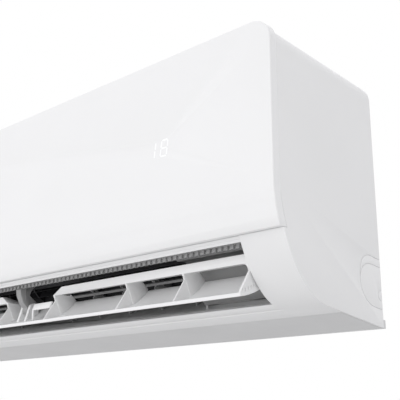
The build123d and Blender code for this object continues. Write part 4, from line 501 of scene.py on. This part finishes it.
def in_fin(middle, normal):
    """Faces to the room that lie in every second strip of the heat sink."""
    strip = int((middle.x - (board_left + SINK_X)) / SINK_STRIP)
    return faces_room(middle, normal) and strip % 2 == 0


sink = on_board("board_heat_sink", SINK_X, SINK_Z, *SINK_SIZE)
bpy.ops.object.mode_set(mode="EDIT")
bpy.ops.mesh.select_all(action="SELECT")
bpy.ops.mesh.subdivide(number_cuts=SINK_CUTS)
pick(sink, in_fin)
bpy.ops.mesh.extrude_region_move(TRANSFORM_OT_translate={"value": (0.0, -SINK_FIN, 0.0)})
bpy.ops.object.mode_set(mode="OBJECT")
finish_piece(sink, "unit", "galvanised", EDGE_FINE)

for count in range(PLUGS):
    x = PLUG_X + PLUG_PITCH * count
    plug = on_board(f"board_plug_{count + 1}", x, PLUG_Z, *PLUG_SIZE)
    step_faces(plug, faces_room, PLUG_STEPS)
    finish_piece(plug, "unit", "casing_white", EDGE_FINE)
print("board of", round(board_high[0] - board_left, 3), "by", round(board_high[2] - board_foot, 3))

# %% [markdown]
# ## Terminal screws
# In each well of the terminal block sits a screw that clamps a wire. It is modelled once: a short
# cylinder whose face is inset and pushed in for the driver. Three copies, each with its own mesh,
# take the other wells.

# %% Terminal screws
WELLS, WELL_PITCH = 4, 0.012
SCREW_RADIUS, SCREW_LENGTH, SCREW_DEEP, SCREW_SIDES = 0.0026, 0.0045, 0.0052, 24
SCREW_STEPS = ((0.0011, (0.0, 0.0012, 0.0)),)

block_low, block_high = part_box("terminal_block")
first_x = (block_low[0] + block_high[0]) / 2 - WELL_PITCH * (WELLS - 1) / 2
first_place = (first_x, block_low[1] + SCREW_DEEP, (block_low[2] + block_high[2]) / 2)
screw = place_round(
    "terminal_screw_1", first_place, SCREW_RADIUS, SCREW_LENGTH, TO_ROOM, SCREW_SIDES
)
step_faces(screw, faces_room, SCREW_STEPS)
finish_piece(screw, "unit", "steel", EDGE_FINE)
for count in range(1, WELLS):
    twin = bpy.data.objects.new(f"terminal_screw_{count + 1}", screw.data.copy())
    bpy.context.scene.collection.objects.link(twin)
    only(twin)
    twin.location.x = WELL_PITCH * count
    bpy.ops.object.transform_apply(location=True, rotation=False, scale=False)
    dress(twin, "unit", "steel")
print("terminal screws:", WELLS)

# %% [markdown]
# ## End of the fan motor
# The motor's can is two deep-drawn shells that meet in a flange, with a raised bearing seat at the
# end. Rings spun from a flat profile would do, but an inset and an extrude on a cylinder's end
# give the same steps with fewer faces.

# %% Motor shell
CAP_SHARE, CAP_LENGTH, CAP_OUT, CAP_SIDES = 0.86, 0.004, 0.0022, 64
CAP_STEPS = (
    (0.004, (0.0015, 0.0, 0.0)),
    (0.016, (0.0035, 0.0, 0.0)),
    (0.004, (-0.0015, 0.0, 0.0)),
)

motor_low, motor_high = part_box("fan_motor")
motor_radius = (motor_high[2] - motor_low[2]) / 2
cap_place = (
    motor_high[0] + CAP_OUT,
    (motor_low[1] + motor_high[1]) / 2,
    (motor_low[2] + motor_high[2]) / 2,
)
cap = place_round(
    "motor_end_cap", cap_place, motor_radius * CAP_SHARE, CAP_LENGTH, ALONG, CAP_SIDES
)
step_faces(cap, lambda middle, normal: normal.x > 0.9, CAP_STEPS)
finish_piece(cap, "unit", "galvanised", EDGE_ROUND)
print("motor cap out to x =", round(max(vertex.co.x for vertex in cap.data.vertices), 4))

# %% [markdown]
# ## Lip above the outlet
# Between the cheeks the casing steps back twice under the panel, and each step catches a soft grey
# line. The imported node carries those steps, shallow, because the wall is thin there. On a merged
# copy the two faces are slid a little further in, which deepens the steps until they can be read.

# %% Stepped lip
LIP_LOW, LIP_MIDDLE, LIP_HIGH = -0.0858, -0.0830, -0.0803
LIP_END, LIP_FRONT = 0.366, -0.172
UPPER_BACK, LOWER_BACK = 0.0005, 0.0006

casing = node_copy("front_casing", "casing_moulding")
for high, back in ((LIP_HIGH, UPPER_BACK), (LIP_MIDDLE, LOWER_BACK)):
    slide_faces(
        casing,
        lambda middle, normal: normal.y < -0.5
        and abs(middle.x) < LIP_END
        and LIP_LOW < middle.z < high
        and middle.y < LIP_FRONT,
        (0.0, back, 0.0),
    )
finish_piece(casing, "unit", "casing_white", EDGE_SOFT)
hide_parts("front_casing")
print("casing faces:", len(casing.data.polygons))

# %% [markdown]
# ## Front panel
# On the real unit the seam between panel and casing can hardly be seen from the side, because the
# panel's rim is pressed against the casing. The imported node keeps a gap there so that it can
# swing. On a merged copy the rear face of the rim is slid back until only a hair of it is left.

# %% Front panel
RIM_BACK, RIM_NEAR, RIM_SLIDE = -0.183, 0.0003, 0.00032

panel = node_copy("front_panel", "front_panel_moulding")
slide_faces(
    panel,
    lambda middle, normal: normal.y > 0.95 and abs(middle.y - RIM_BACK) < RIM_NEAR,
    (0.0, RIM_SLIDE, 0.0),
)
finish_piece(panel, "panel", "panel_white")
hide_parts("front_panel")
print("panel faces:", len(panel.data.polygons))

# %% [markdown]
# ## Low bar in the louvre's middle
# Where the tall bar is cut away, a low bar runs from the innermost rib to a foot beside the pivot,
# so the blade cannot twist. It leans back a little. A block is placed and its top face is slid
# backwards, which leans the whole bar; a second block makes the foot and is joined to it.

# %% Middle bar
BAR_LOW, BAR_HIGH, BAR_LEAN = (0.0140, -0.1672, -0.1202), (0.0500, -0.1646, -0.1117), 0.0035
FOOT_LOW, FOOT_HIGH = (0.0140, -0.1668, -0.1325), (0.0162, -0.1642, -0.1180)

bar = place_block("louvre_middle_bar", BAR_LOW, BAR_HIGH)
slide_faces(bar, lambda middle, normal: normal.z > 0.9, (0.0, BAR_LEAN, 0.0))
place_block("louvre_middle_bar_foot", FOOT_LOW, FOOT_HIGH)
bar.select_set(True)
bpy.context.view_layer.objects.active = bar
bpy.ops.object.join()
finish_piece(bar, "louvre", "louvre_white", EDGE_SOFT)
print("middle bar, length", round(BAR_HIGH[0] - BAR_LOW[0], 4))

# %% [markdown]
# ## Web behind the comb's teeth
# The teeth over the outlet are ribs on a thin strip, not free fingers: drops run down them and
# fall outside the air stream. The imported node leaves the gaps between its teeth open. A thin web
# at the back of the teeth closes them, so they show as shallow grey pockets.

# %% Comb web
TOOTH_HEIGHT, TEETH_BACK, WEB, WEB_TAPER = 0.0042, -0.1602, 0.0012, 0.6
WEB_SHORT, WEB_ABOVE = 0.0005, 0.0002

comb_low, comb_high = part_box("comb_strip")
web_low = (comb_low[0] + WEB_SHORT, TEETH_BACK - WEB, comb_low[2] + WEB_ABOVE)
web_high = (comb_high[0] - WEB_SHORT, TEETH_BACK, comb_low[2] + TOOTH_HEIGHT)
web = place_block("comb_web", web_low, web_high)
bpy.ops.object.mode_set(mode="EDIT")
pick(web, lambda middle, normal: normal.z < -0.9)
bpy.ops.transform.resize(value=(1.0, WEB_TAPER, 1.0))
bpy.ops.object.mode_set(mode="OBJECT")
finish_piece(web, "unit", "comb_grey", EDGE_FINE)
print("comb web, length", round(web_high[0] - web_low[0], 3))

# %% [markdown]
# ## Block at the duct's end
# The block that closes the duct laps over the front edge of the fan's end wall, so the wall's edge
# does not show as a bright line. On a merged copy the block's left face is slid over that edge,
# and its corners get the small radius of a moulding.

# %% Duct end block
LAP = 0.0036

block = node_copy("duct_end_block", "duct_end_block_moulding")
slide_faces(block, lambda middle, normal: normal.x < -0.9, (-LAP, 0.0, 0.0))
finish_piece(block, "unit", "lining_grey", EDGE_ROUND)
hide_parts("duct_end_block")
print("block starts at x =", round(min(vertex.co.x for vertex in block.data.vertices), 4))

# %% [markdown]
# ## Rear moulding and link bars
# The fan's end wall stops short behind the block at the duct's end, so only the duct's floor runs
# on to the lip. On a merged copy of the rear moulding the wall's front edge is slid back behind
# the block. The link bars that turn the vanes together get soft edges and the grey of the vanes.

# %% Rear moulding and link bars
WALL_X, WALL_HALF, WALL_BACK = 0.2585, 0.002, 0.0125
WALL_SPAN = (-0.125, -0.11)

chassis = node_copy("rear_chassis", "rear_moulding")
slide_faces(
    chassis,
    lambda middle, normal: normal.y < -0.95
    and abs(middle.x - WALL_X) < WALL_HALF
    and WALL_SPAN[0] < middle.y < WALL_SPAN[1],
    (0.0, WALL_BACK, 0.0),
)
bpy.ops.object.shade_smooth_by_angle(angle=SHARP)
dress(chassis, "unit", "rear_grey")
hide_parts("rear_chassis")
for side in ("left", "right"):
    link = node_copy(f"link_bar_{side}", f"link_bar_{side}_moulding")
    finish_piece(link, f"link_{side}", "lining_grey")
    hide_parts(f"link_bar_{side}")
print("rear moulding faces:", len(chassis.data.polygons))
